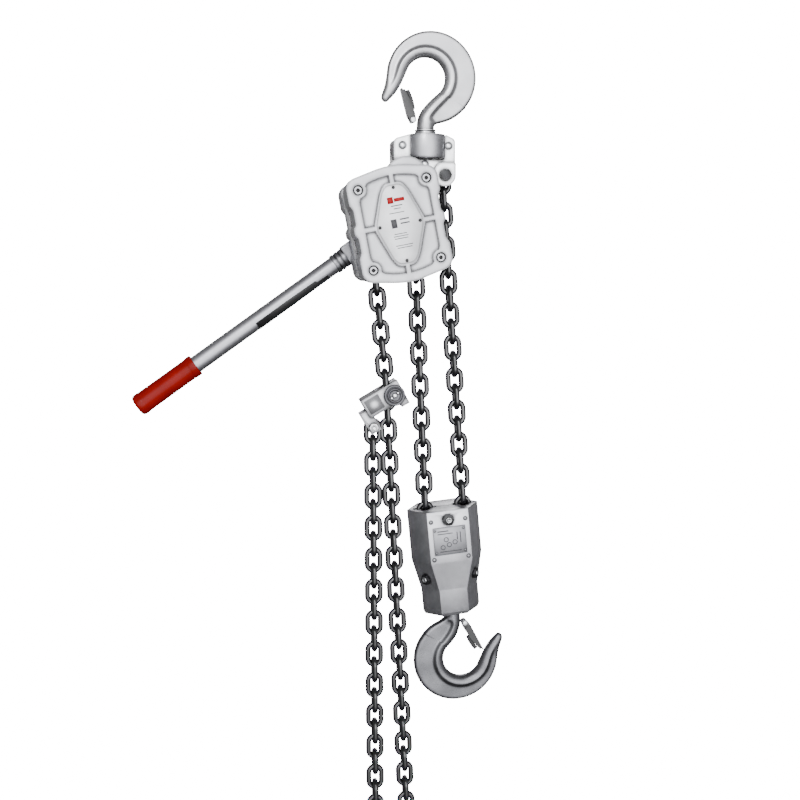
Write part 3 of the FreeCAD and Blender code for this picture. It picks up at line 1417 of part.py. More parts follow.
def clip_cap():
    """The round cap with a slot and a centre pin, on the front of the housing."""
    x = size("clip_wheel_x")
    z = size("clip_wheel_z")
    face = -size("clip_depth") / 2
    cap = cylinder_y(x, z, size("clip_cap_radius"), face - 5, face)
    cap = cap.fuse(cylinder_y(x, z, size("clip_cap_radius") - 3.5, face - 7, face - 5))
    slot = Part.makeBox(30, 3, 7, Vector(-15, -1.5, -3.5))
    slot.Placement = Placement(Vector(x, face - 6.5, z), Rotation(Y_AXIS, -40))
    cap = cap.cut(slot).fuse(cylinder_y(x, z, 5, face - 9, face - 4))
    feature("clip_cap", cap.removeSplitter())


def clip_bolt():
    """Holds the chain's last link between the cheeks."""
    x = CLIP_BOLT.x
    z = CLIP_BOLT.z
    radius = size("anchor_bolt_radius")
    bolt = cylinder_y(x, z, radius, -17, 17)
    head = hex_prism(x, z, 15, -20.5, -15)
    nut = hex_prism(x, z, 16, 15, 21)
    feature("clip_bolt", bolt.multiFuse([head, nut]).removeSplitter())


# ---------------------------------------------------------------- chain groups

def chains():
    group("chain_over_sheave", WRAP_LINKS + FALL[:2] + SLACK[:2])
    group("chain_exits", FALL[2:FALL_FIXED_LOW] + SLACK[2:SLACK_FIXED])
    anchor_link = hanging_link(ANCHOR, FALL_PIVOTS[-1])
    high = FALL_LINKS - FALL_FIXED_HIGH
    group("anchor_chain", FALL[high:] + [anchor_link])
    group("falls_chain", FALL[FALL_FIXED_LOW:high])
    end_link = hanging_link(CLIP_BOLT, SLACK_PIVOTS[-1])
    group("slack_chain", SLACK[SLACK_FIXED:] + [end_link])


# ---------------------------------------------------------------- the whole hoist

def build():
    hooks()
    top_yoke()
    hook_washers()
    side_plate("front_plate", -PLATE_IN, True)
    side_plate("rear_plate", PLATE_OUT, False)
    yoke_rivets()
    anchor_bolt()
    gear_case()
    gear_cover()
    cover_bolts()
    nameplate()
    centre_casing()
    chain_stripper()
    body_bushes()
    load_gear()
    upper, lower = gear_places()
    line = size("gear_line")
    intermediate_gear("upper_gear", upper, line + 180)
    intermediate_gear("lower_gear", lower, line)
    drive_shaft()
    load_sheave()
    brake_hub()
    friction_discs()
    ratchet_disc()
    for name, angle in zip(("brake_pawl_right", "brake_pawl_left"), PAWL_ANGLES):
        brake_pawl(name, angle)
    pawl_pins()
    change_gear()
    brake_cover()
    brake_cover_bolts()
    lever_hubs()
    lever_screws()
    lever_tube()
    ferrule()
    grip()
    lever_strip()
    selector()
    hand_wheel()
    block_shells()
    block_bolts()
    block_rivets()
    idler()
    clip_body()
    clip_cap()
    clip_bolt()
    chains()


def subcomponents():
    """Every top-level piece, by its label."""
    found = {}
    for item in doc.Objects:
        if item.TypeId in ("Part::Feature", "PartDesign::Body", "Part::Cut") and not item.InList:
            found[item.Label] = item
    return found


def check_all():
    for item in doc.Objects:
        if "Invalid" in item.State or "Error" in item.State:
            raise RuntimeError(f"{item.Label}: {item.State}")
    for name, item in subcomponents().items():
        if item.Shape.isNull() or not item.Shape.isValid() or not item.Shape.Solids:
            raise RuntimeError(f"{name}: no valid solid")


build()
doc.recompute()
check_all()
for label, piece in subcomponents().items():
    piece.Shape.exportStep(f"parts/{label}.step")
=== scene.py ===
import json
import math

import bmesh
import bpy
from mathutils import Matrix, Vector

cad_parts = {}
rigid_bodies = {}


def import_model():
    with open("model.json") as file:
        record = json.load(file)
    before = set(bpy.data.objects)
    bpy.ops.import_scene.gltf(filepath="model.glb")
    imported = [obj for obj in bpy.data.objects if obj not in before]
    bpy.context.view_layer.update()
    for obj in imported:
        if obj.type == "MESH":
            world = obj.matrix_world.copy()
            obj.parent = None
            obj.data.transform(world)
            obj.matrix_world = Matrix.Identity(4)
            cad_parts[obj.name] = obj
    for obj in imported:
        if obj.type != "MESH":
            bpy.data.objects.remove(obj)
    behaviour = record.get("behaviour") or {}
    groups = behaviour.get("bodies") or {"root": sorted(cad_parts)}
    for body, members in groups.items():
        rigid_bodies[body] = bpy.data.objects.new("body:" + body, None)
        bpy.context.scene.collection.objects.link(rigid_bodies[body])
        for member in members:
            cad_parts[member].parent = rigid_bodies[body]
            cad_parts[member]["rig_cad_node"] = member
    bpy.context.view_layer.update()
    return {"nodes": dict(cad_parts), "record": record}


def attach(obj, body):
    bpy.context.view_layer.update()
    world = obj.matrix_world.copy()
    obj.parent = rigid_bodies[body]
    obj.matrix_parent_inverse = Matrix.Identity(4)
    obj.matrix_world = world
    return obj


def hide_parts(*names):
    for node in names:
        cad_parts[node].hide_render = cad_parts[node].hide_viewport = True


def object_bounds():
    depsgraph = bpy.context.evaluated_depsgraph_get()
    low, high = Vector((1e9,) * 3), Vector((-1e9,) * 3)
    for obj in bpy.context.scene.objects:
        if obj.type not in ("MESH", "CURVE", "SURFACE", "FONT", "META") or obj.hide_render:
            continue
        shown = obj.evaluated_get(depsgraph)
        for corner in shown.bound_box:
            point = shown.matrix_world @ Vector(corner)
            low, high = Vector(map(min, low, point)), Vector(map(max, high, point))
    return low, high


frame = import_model()
NODES = frame["nodes"]
MM = 0.001

# Sizes in metres.
FLOOR_GAP = 0.004
FLOOR_HALF_WIDTH = 8
FLOOR_START = -6.0
FLOOR_CURVE_START = 2.2
FLOOR_CURVE_RADIUS = 2.0
BACKDROP_HEIGHT = 7
FLOOR_GLOW = 18

# Sizes in millimetres and degrees, the same as the CAD's.
TUBE_RADIUS = 16
LOWER_SHANK_RADIUS = 14.1
BLOCK_TILT = 5.5
BLOCK_HALF_DEPTH = 48
CROSS_BOLT_HEIGHT = 185
CROSS_BOLT_REACH = 56.3
FLANK_BOLT_HEIGHT = 71
FLANK_BOLT_REACH = 6.5
COVER_LEAN = 11
CLIP_LEAN = 30
STRIP_BELOW_FRONT = 36


# ---------------------------------------------------------------- camera, light and floor

def add_camera():
    data = bpy.data.cameras.new("camera")
    data.lens = 50
    data.sensor_width = 36
    camera = bpy.data.objects.new("camera", data)
    camera.location = (-0.3615, -1.995, -0.345)
    camera.rotation_euler = (math.radians(83.5), 0, math.radians(-9))
    bpy.context.scene.collection.objects.link(camera)
    bpy.context.scene.camera = camera


def add_area(name, place, target, size, power):
    data = bpy.data.lights.new(name, "AREA")
    data.shape = "RECTANGLE"
    data.size, data.size_y = size
    data.energy = power
    light = bpy.data.objects.new(name, data)
    light.location = place
    aim = Vector(target) - Vector(place)
    light.rotation_euler = aim.to_track_quat("-Z", "Y").to_euler()
    bpy.context.scene.collection.objects.link(light)


def add_world():
    """Soft light that is brightest in front and falls off to the sides, so that turned faces go dark."""
    world = bpy.data.worlds.new("studio")
    world.use_nodes = True
    tree = world.node_tree
    place = tree.nodes.new("ShaderNodeTexCoord")
    split = tree.nodes.new("ShaderNodeSeparateXYZ")
    tree.links.new(place.outputs["Generated"], split.inputs[0])
    depth_stops = [(-1, 5.6), (-0.9, 4.9), (-0.72, 1.7), (-0.45, 0.44), (0, 0.24), (0.5, 0.25), (1, 0.33)]
    height_stops = [(-1, 0.22), (-0.5, 0.4), (-0.1, 0.92), (0.2, 1.1), (0.5, 1.1), (1, 0.45)]
    around = grade(tree, split.outputs["Y"], depth_stops)
    level = grade(tree, split.outputs["Z"], height_stops)
    strength = tree.nodes.new("ShaderNodeMath")
    strength.operation = "MULTIPLY"
    tree.links.new(around, strength.inputs[0])
    tree.links.new(level, strength.inputs[1])
    background = tree.nodes["Background"]
    background.inputs["Color"].default_value = (0.98, 0.99, 1, 1)
    tree.links.new(strength.outputs[0], background.inputs["Strength"])
    bpy.context.scene.world = world


def grade(tree, value, stops):
    """A smooth curve through (direction cosine, brightness) stops."""
    low = stops[0][0]
    span = stops[-1][0] - low
    top = max(height for _, height in stops)
    shift = tree.nodes.new("ShaderNodeMapRange")
    shift.inputs["From Min"].default_value = low
    shift.inputs["From Max"].default_value = stops[-1][0]
    tree.links.new(value, shift.inputs["Value"])
    node = tree.nodes.new("ShaderNodeValToRGB")
    node.color_ramp.interpolation = "EASE"
    elements = node.color_ramp.elements
    while len(elements) < len(stops):
        elements.new(0.5)
    for element, (place, height) in zip(elements, stops):
        element.position = (place - low) / span
        element.color = (height / top, height / top, height / top, 1)
    tree.links.new(shift.outputs["Result"], node.inputs["Fac"])
    scale = tree.nodes.new("ShaderNodeMath")
    scale.operation = "MULTIPLY"
    scale.inputs[1].default_value = top
    tree.links.new(node.outputs["Color"], scale.inputs[0])
    return scale.outputs[0]


def add_floor():
    """A pale lit sheet that lies under the loop of chain and curves up far behind the hoist."""
    mesh = bpy.data.meshes.new("floor")
    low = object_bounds()[0][2] - FLOOR_GAP
    rows = [(FLOOR_START, low), (FLOOR_CURVE_START, low)]
    for step in range(1, 13):
        angle = math.radians(90 * step / 12)
        back = FLOOR_CURVE_START + FLOOR_CURVE_RADIUS * math.sin(angle)
        rows.append((back, low + FLOOR_CURVE_RADIUS * (1 - math.cos(angle))))
    rows.append((FLOOR_CURVE_START + FLOOR_CURVE_RADIUS, low + BACKDROP_HEIGHT))
    verts = [(x, y, z) for y, z in rows for x in (-FLOOR_HALF_WIDTH, FLOOR_HALF_WIDTH)]
    faces = [(2 * i, 2 * i + 1, 2 * i + 3, 2 * i + 2) for i in range(len(rows) - 1)]
    mesh.from_pydata(verts, [], faces)
    for face in mesh.polygons:
        face.use_smooth = True
    floor = bpy.data.objects.new("floor", mesh)
    bpy.context.scene.collection.objects.link(floor)
    material = new_material("floor_paper", (0.93, 0.93, 0.93), 0, 0.9)
    shader = material.node_tree.nodes["Principled BSDF"]
    shader.inputs["Emission Color"].default_value = (1, 1, 1, 1)
    shader.inputs["Emission Strength"].default_value = FLOOR_GLOW
    mesh.materials.append(material)
    floor.visible_diffuse = False
    floor.visible_glossy = False


# ---------------------------------------------------------------- materials

def new_material(name, colour, metallic, roughness):
    material = bpy.data.materials.new(name)
    material.use_nodes = True
    shader = material.node_tree.nodes["Principled BSDF"]
    shader.inputs["Base Color"].default_value = (*colour, 1)
    shader.inputs["Metallic"].default_value = metallic
    shader.inputs["Roughness"].default_value = roughness
    return material


def add_node(tree, kind, **settings):
    node = tree.nodes.new(kind)
    for key, value in settings.items():
        if key in node.inputs:
            node.inputs[key].default_value = value
        else:
            setattr(node, key, value)
    return node


def noise(tree, place, scale, detail, stretch=None):
    """Noise in metres of the object's own frame; stretch scales its axes first."""
    source = place
    if stretch:
        mapping = add_node(tree, "ShaderNodeMapping")
        mapping.inputs["Scale"].default_value = stretch
        tree.links.new(place, mapping.inputs["Vector"])
        source = mapping.outputs["Vector"]
    node = add_node(tree, "ShaderNodeTexNoise", Scale=scale, Detail=detail)
    tree.links.new(source, node.inputs["Vector"])
    return node.outputs["Fac"]


def ramp(tree, value, stops):
    node = add_node(tree, "ShaderNodeValToRGB")
    elements = node.color_ramp.elements
    while len(elements) < len(stops):
        elements.new(0.5)
    for element, (position, colour) in zip(elements, stops):
        element.position = position
        element.color = (*colour, 1)
    tree.links.new(value, node.inputs["Fac"])
    return node.outputs["Color"]


def bumps(tree, layers):
    """Chained bump nodes. Each layer is a height value, its strength and its distance."""
    normal = None
    for height, strength, distance in layers:
        node = add_node(tree, "ShaderNodeBump", Strength=strength, Distance=distance)
        tree.links.new(height, node.inputs["Height"])
        if normal is not None:
            tree.links.new(normal, node.inputs["Normal"])
        normal = node.outputs["Normal"]
    return normal


def multiply(tree, base, shade):
    mix = add_node(tree, "ShaderNodeMix", data_type="RGBA", blend_type="MULTIPLY")
    mix.inputs["Factor"].default_value = 1
    tree.links.new(base, mix.inputs[6])
    tree.links.new(shade, mix.inputs[7])
    return mix.outputs[2]


def corner_shade(tree, dark, reach):
    """Painted shade: white on open faces, falling towards dark in corners and gaps."""
    hidden = add_node(tree, "ShaderNodeAmbientOcclusion", Distance=reach, samples=8)
    return ramp(tree, hidden.outputs["AO"], [(0.55, [1 - dark] * 3), (0.94, [1, 1, 1])])


def edge_shade(tree, dark, radius):
    """Painted shade along edges: white on faces, dark along edges, where a rounded normal leans away from the
    face's own.
    """
    rounded = add_node(tree, "ShaderNodeBevel", Radius=radius, samples=6)
    face = add_node(tree, "ShaderNodeNewGeometry")
    lean = add_node(tree, "ShaderNodeVectorMath", operation="DOT_PRODUCT")
    tree.links.new(rounded.outputs["Normal"], lean.inputs[0])
    tree.links.new(face.outputs["Normal"], lean.inputs[1])
    return ramp(tree, lean.outputs["Value"], [(0.86, [1 - dark] * 3), (0.985, [1, 1, 1])])


def side_shade(tree, dark):
    """Painted shade on one side: dark on the faces that look along the object's own Y, white on the others.
    """
    split = add_node(tree, "ShaderNodeSeparateXYZ")
    tree.links.new(add_node(tree, "ShaderNodeTexCoord").outputs["Normal"], split.inputs[0])
    size = add_node(tree, "ShaderNodeMath", operation="ABSOLUTE")
    tree.links.new(split.outputs["Y"], size.inputs[0])
    return ramp(tree, size.outputs[0], [(0.55, [1, 1, 1]), (0.85, [1 - dark] * 3)])


def surface(name, colour, metallic, rough, tint=0.06, grain=900, patch=14, bump=0.25, depth=0.0002,
            stretch=None, coat=0.0, corner=0.0, reach=0.005, edge=0.0, edge_radius=0.009, side=0.0,
            specular=0.5):
    """One finish: a patchy colour, uneven gloss, a fine grain in relief, and painted shade in corners, along
    edges and on the faces along Y.
    """
    material = new_material(name, colour, metallic, rough[0])
    tree = material.node_tree
    shader = tree.nodes["Principled BSDF"]
    place = add_node(tree, "ShaderNodeTexCoord").outputs["Object"]
    coarse = noise(tree, place, patch, 5.0)
    fine = noise(tree, place, grain, 3.0, stretch)
    darker = [c * (1 - tint) for c in colour]
    lighter = [min(1, c * (1 + tint)) for c in colour]
    base = ramp(tree, coarse, [(0.3, darker), (0.7, lighter)])
    if corner:
        base = multiply(tree, base, corner_shade(tree, corner, reach))
    if edge:
        base = multiply(tree, base, edge_shade(tree, edge, edge_radius))
    if side:
        base = multiply(tree, base, side_shade(tree, side))
    tree.links.new(base, shader.inputs["Base Color"])
    span = add_node(tree, "ShaderNodeMapRange")
    span.inputs["From Min"].default_value = 0.3
    span.inputs["From Max"].default_value = 0.7
    span.inputs["To Min"].default_value = rough[0]
    span.inputs["To Max"].default_value = rough[1]
    tree.links.new(noise(tree, place, patch * 4, 6.0), span.inputs["Value"])
    tree.links.new(span.outputs["Result"], shader.inputs["Roughness"])
    relief = bumps(tree, [(fine, bump, depth), (coarse, bump * 0.5, depth * 3)])
    tree.links.new(relief, shader.inputs["Normal"])
    shader.inputs["Coat Weight"].default_value = coat
    shader.inputs["Specular IOR Level"].default_value = specular
    return material


# In these finishes, corner and reach set painted shade in corners and gaps, edge and edge_radius set painted
# shade along edges, and side sets painted shade on the faces along Y.
FINISHES = {
    "forged_steel": surface("forged_steel", (0.40, 0.40, 0.415), 0.90, (0.27, 0.38), 0.12, 700, 30, 0.40,
                            0.0004, corner=0.6, edge=0.5),
    "zinc_steel": surface("zinc_steel", (0.62, 0.63, 0.65), 0.92, (0.20, 0.32), 0.08, 900, 60, 0.15,
                          corner=0.8, reach=0.004, edge=0.6, edge_radius=0.004),
    "casing_silver": surface("casing_silver", (0.42, 0.42, 0.44), 0.85, (0.34, 0.44), 0.05, 1100, 18, 0.35,
                             0.0003, corner=0.92, reach=0.007, edge=0.8),
    "plate_grey": surface("plate_grey", (0.93, 0.93, 0.95), 0.70, (0.34, 0.44), 0.03, 1000, 22, 0.25, 0.0003,
                          corner=0.95, reach=0.011, edge=0.85),
    "yoke_grey": surface("yoke_grey", (0.33, 0.33, 0.35), 0.9, (0.26, 0.36), 0.10, 700, 30, 0.3, 0.0003,
                         corner=0.8, reach=0.008, edge=0.5),
    "chain_black": surface("chain_black", (0.010, 0.010, 0.012), 0.3, (0.16, 0.28), 0.35, 500, 60, 0.2,
                           0.0003, coat=0.6),
    "bolt_black": surface("bolt_black", (0.014, 0.014, 0.016), 0.5, (0.2, 0.34), 0.3, 700, 80, 0.2),
    "gear_steel": surface("gear_steel", (0.26, 0.26, 0.27), 0.9, (0.25, 0.4), 0.12, 800, 50, 0.2, corner=0.5),
    "bronze": surface("bronze", (0.36, 0.24, 0.09), 0.95, (0.25, 0.4), 0.1, 800, 50, 0.15),
    "friction_lining": surface("friction_lining", (0.10, 0.08, 0.06), 0, (0.7, 0.85), 0.25, 1400, 60, 0.5),
    "grip_red": surface("grip_red", (0.165, 0.0022, 0.0010), 0, (0.20, 0.30), 0.12, 1500, 30, 0.18, 0.0002,
                        specular=0.10),
    "strip_black": surface("strip_black", (0.008, 0.008, 0.009), 0, (0.45, 0.6), 0.2, 1500, 60, 0.3),
    "nameplate_silver": surface("nameplate_silver", (0.47, 0.47, 0.485), 0.80, (0.32, 0.42), 0.03, 260, 20,
                                0.12, 0.0002, stretch=(1, 1, 12), corner=0.8, edge=0.7, edge_radius=0.003),
    "label_grey": surface("label_grey", (0.20, 0.20, 0.215), 0.80, (0.30, 0.42), 0.10, 260, 40, 0.2, 0.0002,
                          stretch=(1, 1, 12), corner=0.5, edge=0.6, edge_radius=0.003),
    "cap_dark": surface("cap_dark", (0.075, 0.075, 0.083), 0.7, (0.26, 0.40), 0.2, 900, 50, 0.25, corner=0.7,
                        reach=0.003),
}
TUBE_FINISH = surface("lever_steel", (0.33, 0.33, 0.355), 0.92, (0.38, 0.46), 0.06, 700, 40, 0.15, 0.0001,
                      edge=0.5)
# The same forged steel as the upper hook, painted darker: painted shade on the lower hook.
SHADED_FORGING = surface("shaded_forging", (0.14, 0.14, 0.15), 0.90, (0.25, 0.38), 0.24, 700, 26, 0.45, 0.0005,
                       corner=0.6, edge=0.6)
BLOCK_FINISH = surface("block_casting", (0.40, 0.40, 0.425), 0.88, (0.32, 0.42), 0.12, 900, 26, 0.4, 0.0004,
                       corner=0.85, reach=0.006, edge=0.45, edge_radius=0.005)
SOCKET_FINISH = surface("socket_screw", (0.50, 0.50, 0.53), 0.92, (0.22, 0.34), 0.08, 900, 60, 0.15,
                        corner=0.97, reach=0.008, edge=0.95, edge_radius=0.005)
# The latch's faces that look along Y are darkened: painted shade on its flanges.
LATCH_FINISH = surface("latch_sheet", (0.90, 0.90, 0.92), 0.85, (0.28, 0.38), 0.05, 900, 60, 0.15,
                       corner=0.6, edge=0.5, edge_radius=0.002, side=0.95)
COLLAR_FINISH = surface("collar", (0.55, 0.55, 0.57), 0.92, (0.22, 0.32), 0.06, 900, 60, 0.15, corner=0.95,
                        reach=0.009)
HUB_FINISH = surface("lever_head", (0.21, 0.21, 0.225), 0.88, (0.32, 0.42), 0.10, 900, 26, 0.4, 0.0004,
                     corner=0.8, edge=0.5, edge_radius=0.005)
SPRING_BLACK = surface("spring_black", (0.010, 0.010, 0.011), 0.4, (0.3, 0.45), 0.3, 900, 80, 0.2)
PRINT_RED = surface("print_red", (0.30, 0.004, 0.006), 0, (0.5, 0.6), 0.08, 1500, 60, 0.1, 0.0001,
                    specular=0.2)
PRINT_GREY = surface("print_grey", (0.055, 0.055, 0.06), 0, (0.5, 0.6), 0.2, 1500, 60, 0.1, 0.0001,
                     specular=0.2)
NODE_FINISH = {
    "lever_tube": TUBE_FINISH, "block_shell_front": BLOCK_FINISH, "block_shell_rear": BLOCK_FINISH,
    "cover_bolts": SOCKET_FINISH, "upper_latch": LATCH_FINISH, "lower_latch": LATCH_FINISH,
    "hook_washers": COLLAR_FINISH, "lever_hub_front": HUB_FINISH, "lever_hub_rear": HUB_FINISH,
    "lever_ferrule": HUB_FINISH,
}


def paint(piece, slot_name, material=None):
    """A piece's one material: its slot's finish, or a finish of its own."""
    piece.data.materials.clear()
    piece.data.materials.append(material or FINISHES[slot_name])


# ---------------------------------------------------------------- machined edges on the CAD nodes

def soft_edges_group():
    """Smooth shading on every face, with edges over 35 degrees kept sharp."""
    group = bpy.data.node_groups.new("soft_edges", "GeometryNodeTree")
    group.interface.new_socket("Geometry", in_out="INPUT", socket_type="NodeSocketGeometry")
    group.interface.new_socket("Geometry", in_out="OUTPUT", socket_type="NodeSocketGeometry")
    start = group.nodes.new("NodeGroupInput")
    end = group.nodes.new("NodeGroupOutput")
    faces = group.nodes.new("GeometryNodeSetShadeSmooth")
    edges = group.nodes.new("GeometryNodeSetShadeSmooth")
    edges.domain = "EDGE"
    edges.inputs["Shade Smooth"].default_value = False
    angle = group.nodes.new("GeometryNodeInputMeshEdgeAngle")
    compare = group.nodes.new("FunctionNodeCompare")
    compare.operation = "GREATER_THAN"
    compare.inputs[1].default_value = math.radians(35)
    link = group.links.new
    link(start.outputs[0], faces.inputs["Geometry"])
    link(faces.outputs[0], edges.inputs["Geometry"])
    link(angle.outputs["Unsigned Angle"], compare.inputs[0])
    link(compare.outputs[0], edges.inputs["Selection"])
    link(edges.outputs[0], end.inputs[0])
    return group


SOFT_EDGES = soft_edges_group()
EDGE_WIDTH = {
    "gear_cover": 1.1, "gear_case": 1.2, "brake_cover": 1.4, "block_shell_front": 1.4,
    "block_shell_rear": 1.4, "top_yoke": 1.6, "front_plate": 0.8, "rear_plate": 0.8,
    "centre_casing": 0.8, "clip_housing": 1.2,
    "lever_hub_front": 1.2, "lever_hub_rear": 1.2, "hand_wheel": 1.4, "selector_pawl": 0.9, "clip_cap": 0.8,
    "hook_washers": 0.5, "anchor_bolt": 0.7, "block_bolts": 0.7, "hand_wheel_nut": 0.7,
}
NO_BEVEL = {"chain_over_sheave", "chain_exits", "anchor_chain", "falls_chain", "slack_chain", "load_gear",
            "upper_gear", "lower_gear", "drive_shaft", "yoke_rivets", "lever_grip", "lever_tube"}


def finish_cad_nodes():
    """Weld, soften and paint every CAD node, without moving any of it."""
    slots = {entry["node"]: entry["material_slot"] for entry in frame["record"]["subparts"]}
    for name, node in NODES.items():
        if "custom_normal" in node.data.attributes:
            node.data.attributes.remove(node.data.attributes["custom_normal"])
        weld = node.modifiers.new("weld", "WELD")
        weld.merge_threshold = 0.00001
        if name in NO_BEVEL:
            soft = node.modifiers.new("soft", "NODES")
            soft.node_group = SOFT_EDGES
        else:
            add_bevel(node, EDGE_WIDTH.get(name, 0.4))
        paint(node, slots[name], NODE_FINISH.get(name))


# ---------------------------------------------------------------- pieces in mesh code

def add_bevel(piece, width):
    bevel = piece.modifiers.new("bevel", "BEVEL")
    bevel.width = width * MM
    bevel.segments = 2
    bevel.limit_method = "ANGLE"
    bevel.angle_limit = math.radians(38)
    soft = piece.modifiers.new("soft", "NODES")
    soft.node_group = SOFT_EDGES


def new_piece(name, verts, faces, slot_name, body, nodes, levels=0, material=None):
    mesh = bpy.data.meshes.new(name)
    mesh.from_pydata([tuple(v) for v in verts], [], faces)
    work = bmesh.new()
    work.from_mesh(mesh)
    bmesh.ops.recalc_face_normals(work, faces=work.faces)
    work.to_mesh(mesh)
    work.free()
    for face in mesh.polygons:
        face.use_smooth = True
    piece = bpy.data.objects.new(name, mesh)
    bpy.context.scene.collection.objects.link(piece)
    if levels:
        subdivide = piece.modifiers.new("subdivide", "SUBSURF")
        subdivide.levels = levels
        subdivide.render_levels = levels
    paint(piece, slot_name, material)
    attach(piece, body)
    if nodes:
        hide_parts(*nodes)
    return piece


def loops_mesh(loops):
    """Quads between closed loops of the same count, with a fan over each end."""
    count = len(loops[0])
    verts = [point for loop in loops for point in loop]
    faces = []
    for row in range(len(loops) - 1):
        for i in range(count):
            j = (i + 1) % count
            faces.append((row * count + i, row * count + j, (row + 1) * count + j, (row + 1) * count + i))
    for row in (0, len(loops) - 1):
        centre = sum((Vector(p) for p in loops[row]), Vector()) / count
        verts.append(centre)
        hub = len(verts) - 1
        for i in range(count):
            faces.append((row * count + i, row * count + (i + 1) % count, hub))
    return verts, faces


def smoothstep(x):
    x = min(1, max(0, x))
    return x * x * (3 - 2 * x)


def web_share(width, bead):
    """How far a section this wide is a bead with a web, rather than one round bar."""
    return smoothstep((width / bead - 2.05) / 0.5)


def half_thickness(u, width, bead, web):
    """Half the forging's thickness at u from its inner edge: a round bead that drops to a flat web."""
    inner = min(bead, width / 2)
    if u <= inner:
        return bead * math.sqrt(max(0, 1 - (1 - u / inner) ** 2))
    rest = width - inner
    bar = bead * math.sqrt(max(0, 1 - ((u - inner) / rest) ** 2))
    flat = bead + (web - bead) * smoothstep((u - inner) / (0.62 * bead))
    edge = min(web * 0.7, rest - 1)
    if u > width - edge:
        flat *= math.sqrt(max(0, 1 - ((u - width + edge) / edge) ** 2))
    return bar + (flat - bar) * web_share(width, bead)


BAR_STEPS = [math.sin(math.radians(a)) for a in (8, 16, 24, 32, 40, 48, 56, 64, 72, 79, 85, 90)]
WEB_STEPS = [0.05, 0.10, 0.15, 0.20, 0.26, 0.36, 0.55, 0.78, 0.86, 0.93, 0.98, 1.0]


def section_steps(width, bead):
    """Places across the section, closer together where its height changes quickly."""
    inner = min(bead, width / 2)
    steps = [inner * (1 - math.cos(math.radians(a))) for a in (0, 14, 28, 45, 65, 90)]
    share = web_share(width, bead)
    return steps + [inner + (width - inner) * (b + (w - b) * share) for b, w in zip(BAR_STEPS, WEB_STEPS)]


def hook_loop(inner, outer, bead, web):
    """One closed section between its inner and outer edge points, in the hook's own plane."""
    inner = Vector(inner)
    across = Vector(outer) - inner
    width = across.length
    across.normalize()
    steps = section_steps(width, bead)
    front = [(inner + across * u, half_thickness(u, width, bead, web)) for u in steps]
    loop = [(point.x, point.y, height) for point, height in front]
    loop += [(point.x, point.y, -height) for point, height in reversed(front[1:-1])]
    return loop


def around(x, y, radius, degrees):
    angle = math.radians(degrees)
    return (x + radius * math.cos(angle), y + radius * math.sin(angle))


def interpolate(points, count):
    """Catmull-Rom through rows of numbers, count steps to each span."""
    rows = []
    for i in range(len(points) - 1):
        a = points[max(0, i - 1)]
        b = points[i]
        c = points[i + 1]
        d = points[min(len(points) - 1, i + 2)]
        for step in range(count):
            t = step / count
            row = []
            for p, q, r, s in zip(a, b, c, d):
                row.append(0.5 * (2 * q + (r - p) * t + (2 * p - 5 * q + 4 * r - s) * t * t
                                  + (3 * q - p - 3 * r + s) * t ** 3))
            rows.append(row)
    rows.append(list(points[-1]))
    return rows


# Rows of a hook: inner edge x, y, outer edge x, y, bead radius, web half thickness, in millimetres
# about the bowl's centre. They run from the tip over the bowl to the shank.
TIP_ROWS = [
    (-75.5, -42.6, -78.2, -39.6, 1.6, 1.6),
    (-73.5, -43.4, -79.2, -36.6, 4.2, 4.2),
    (-69.0, -43.0, -79.0, -32.0, 6.6, 6.5),
    (-61.5, -36.0, -76.4, -24.0, 9.0, 8.5),
    (-52.5, -26.0, -73.2, -14.0, 10.6, 8.6),
    (-43.5, -11.5, -70.6, -1.0, 11.8, 8.6),
    (-37.5, 1.5, -68.8, 14.0, 13.0, 8.4),
]
UPPER_NECK = [
    (22.5, -26.5, 73.0, -51.5, 14.0, 8.3),
    (14.5, -33.5, 60.0, -63.5, 14.2, 8.3),
    (6.5, -41.0, 45.5, -72.5, 14.4, 8.3),
    (-0.5, -48.5, 33.5, -76.8, 14.6, 8.4),
    (-6.5, -56.0, 24.0, -79.0, 15.0, 8.6),
    (-11.0, -63.5, 18.8, -81.0, 15.4, 10.0),
    (-13.8, -71.0, 16.4, -83.5, 15.8, 14.0),
    (-15.4, -80.0, 15.8, -87.0, 16.0, 16.0),
    (-15.9, -90.0, 15.9, -92.0, 15.9, 15.9),
    (-15.9, -116.0, 15.9, -116.0, 15.9, 15.9),
    (-15.9, -141.4, 15.9, -141.4, 15.9, 15.9),
]


def bowl_rows():
    """Rows round the bowl: a round inner edge, and an outer edge round a centre a little to the right."""
    rows = []
    for step in range(15):
        share = step / 14
        inner = around(0, 0, 35, 162 - 200 * share)
        outer = around(11, 1, 81, 163 - 204 * share)
        rows.append((*inner, *outer, 14.0, 8.3))
    return rows


LOWER_BOWL = (72, -1067)
SHANK_FOOT = 9.87


def hook(name, neck, mirrored, place, body, node, material):
    """A hook's forging from its tip to the top of its shank. It has no ear for the latch pin."""
    rows = interpolate(TIP_ROWS + bowl_rows() + neck, 4)
    loops = [hook_loop(row[0:2], row[2:4], row[4], row[5]) for row in rows]
    side = -1 if mirrored else 1
    world = []
    for loop in loops:
        world.append([Vector((place[0] + side * x, -z, place[1] + side * y)) * MM for x, y, z in loop])
    verts, faces = loops_mesh(world)
    new_piece(name, verts, faces, "forged_steel", body, [node], 1, material)


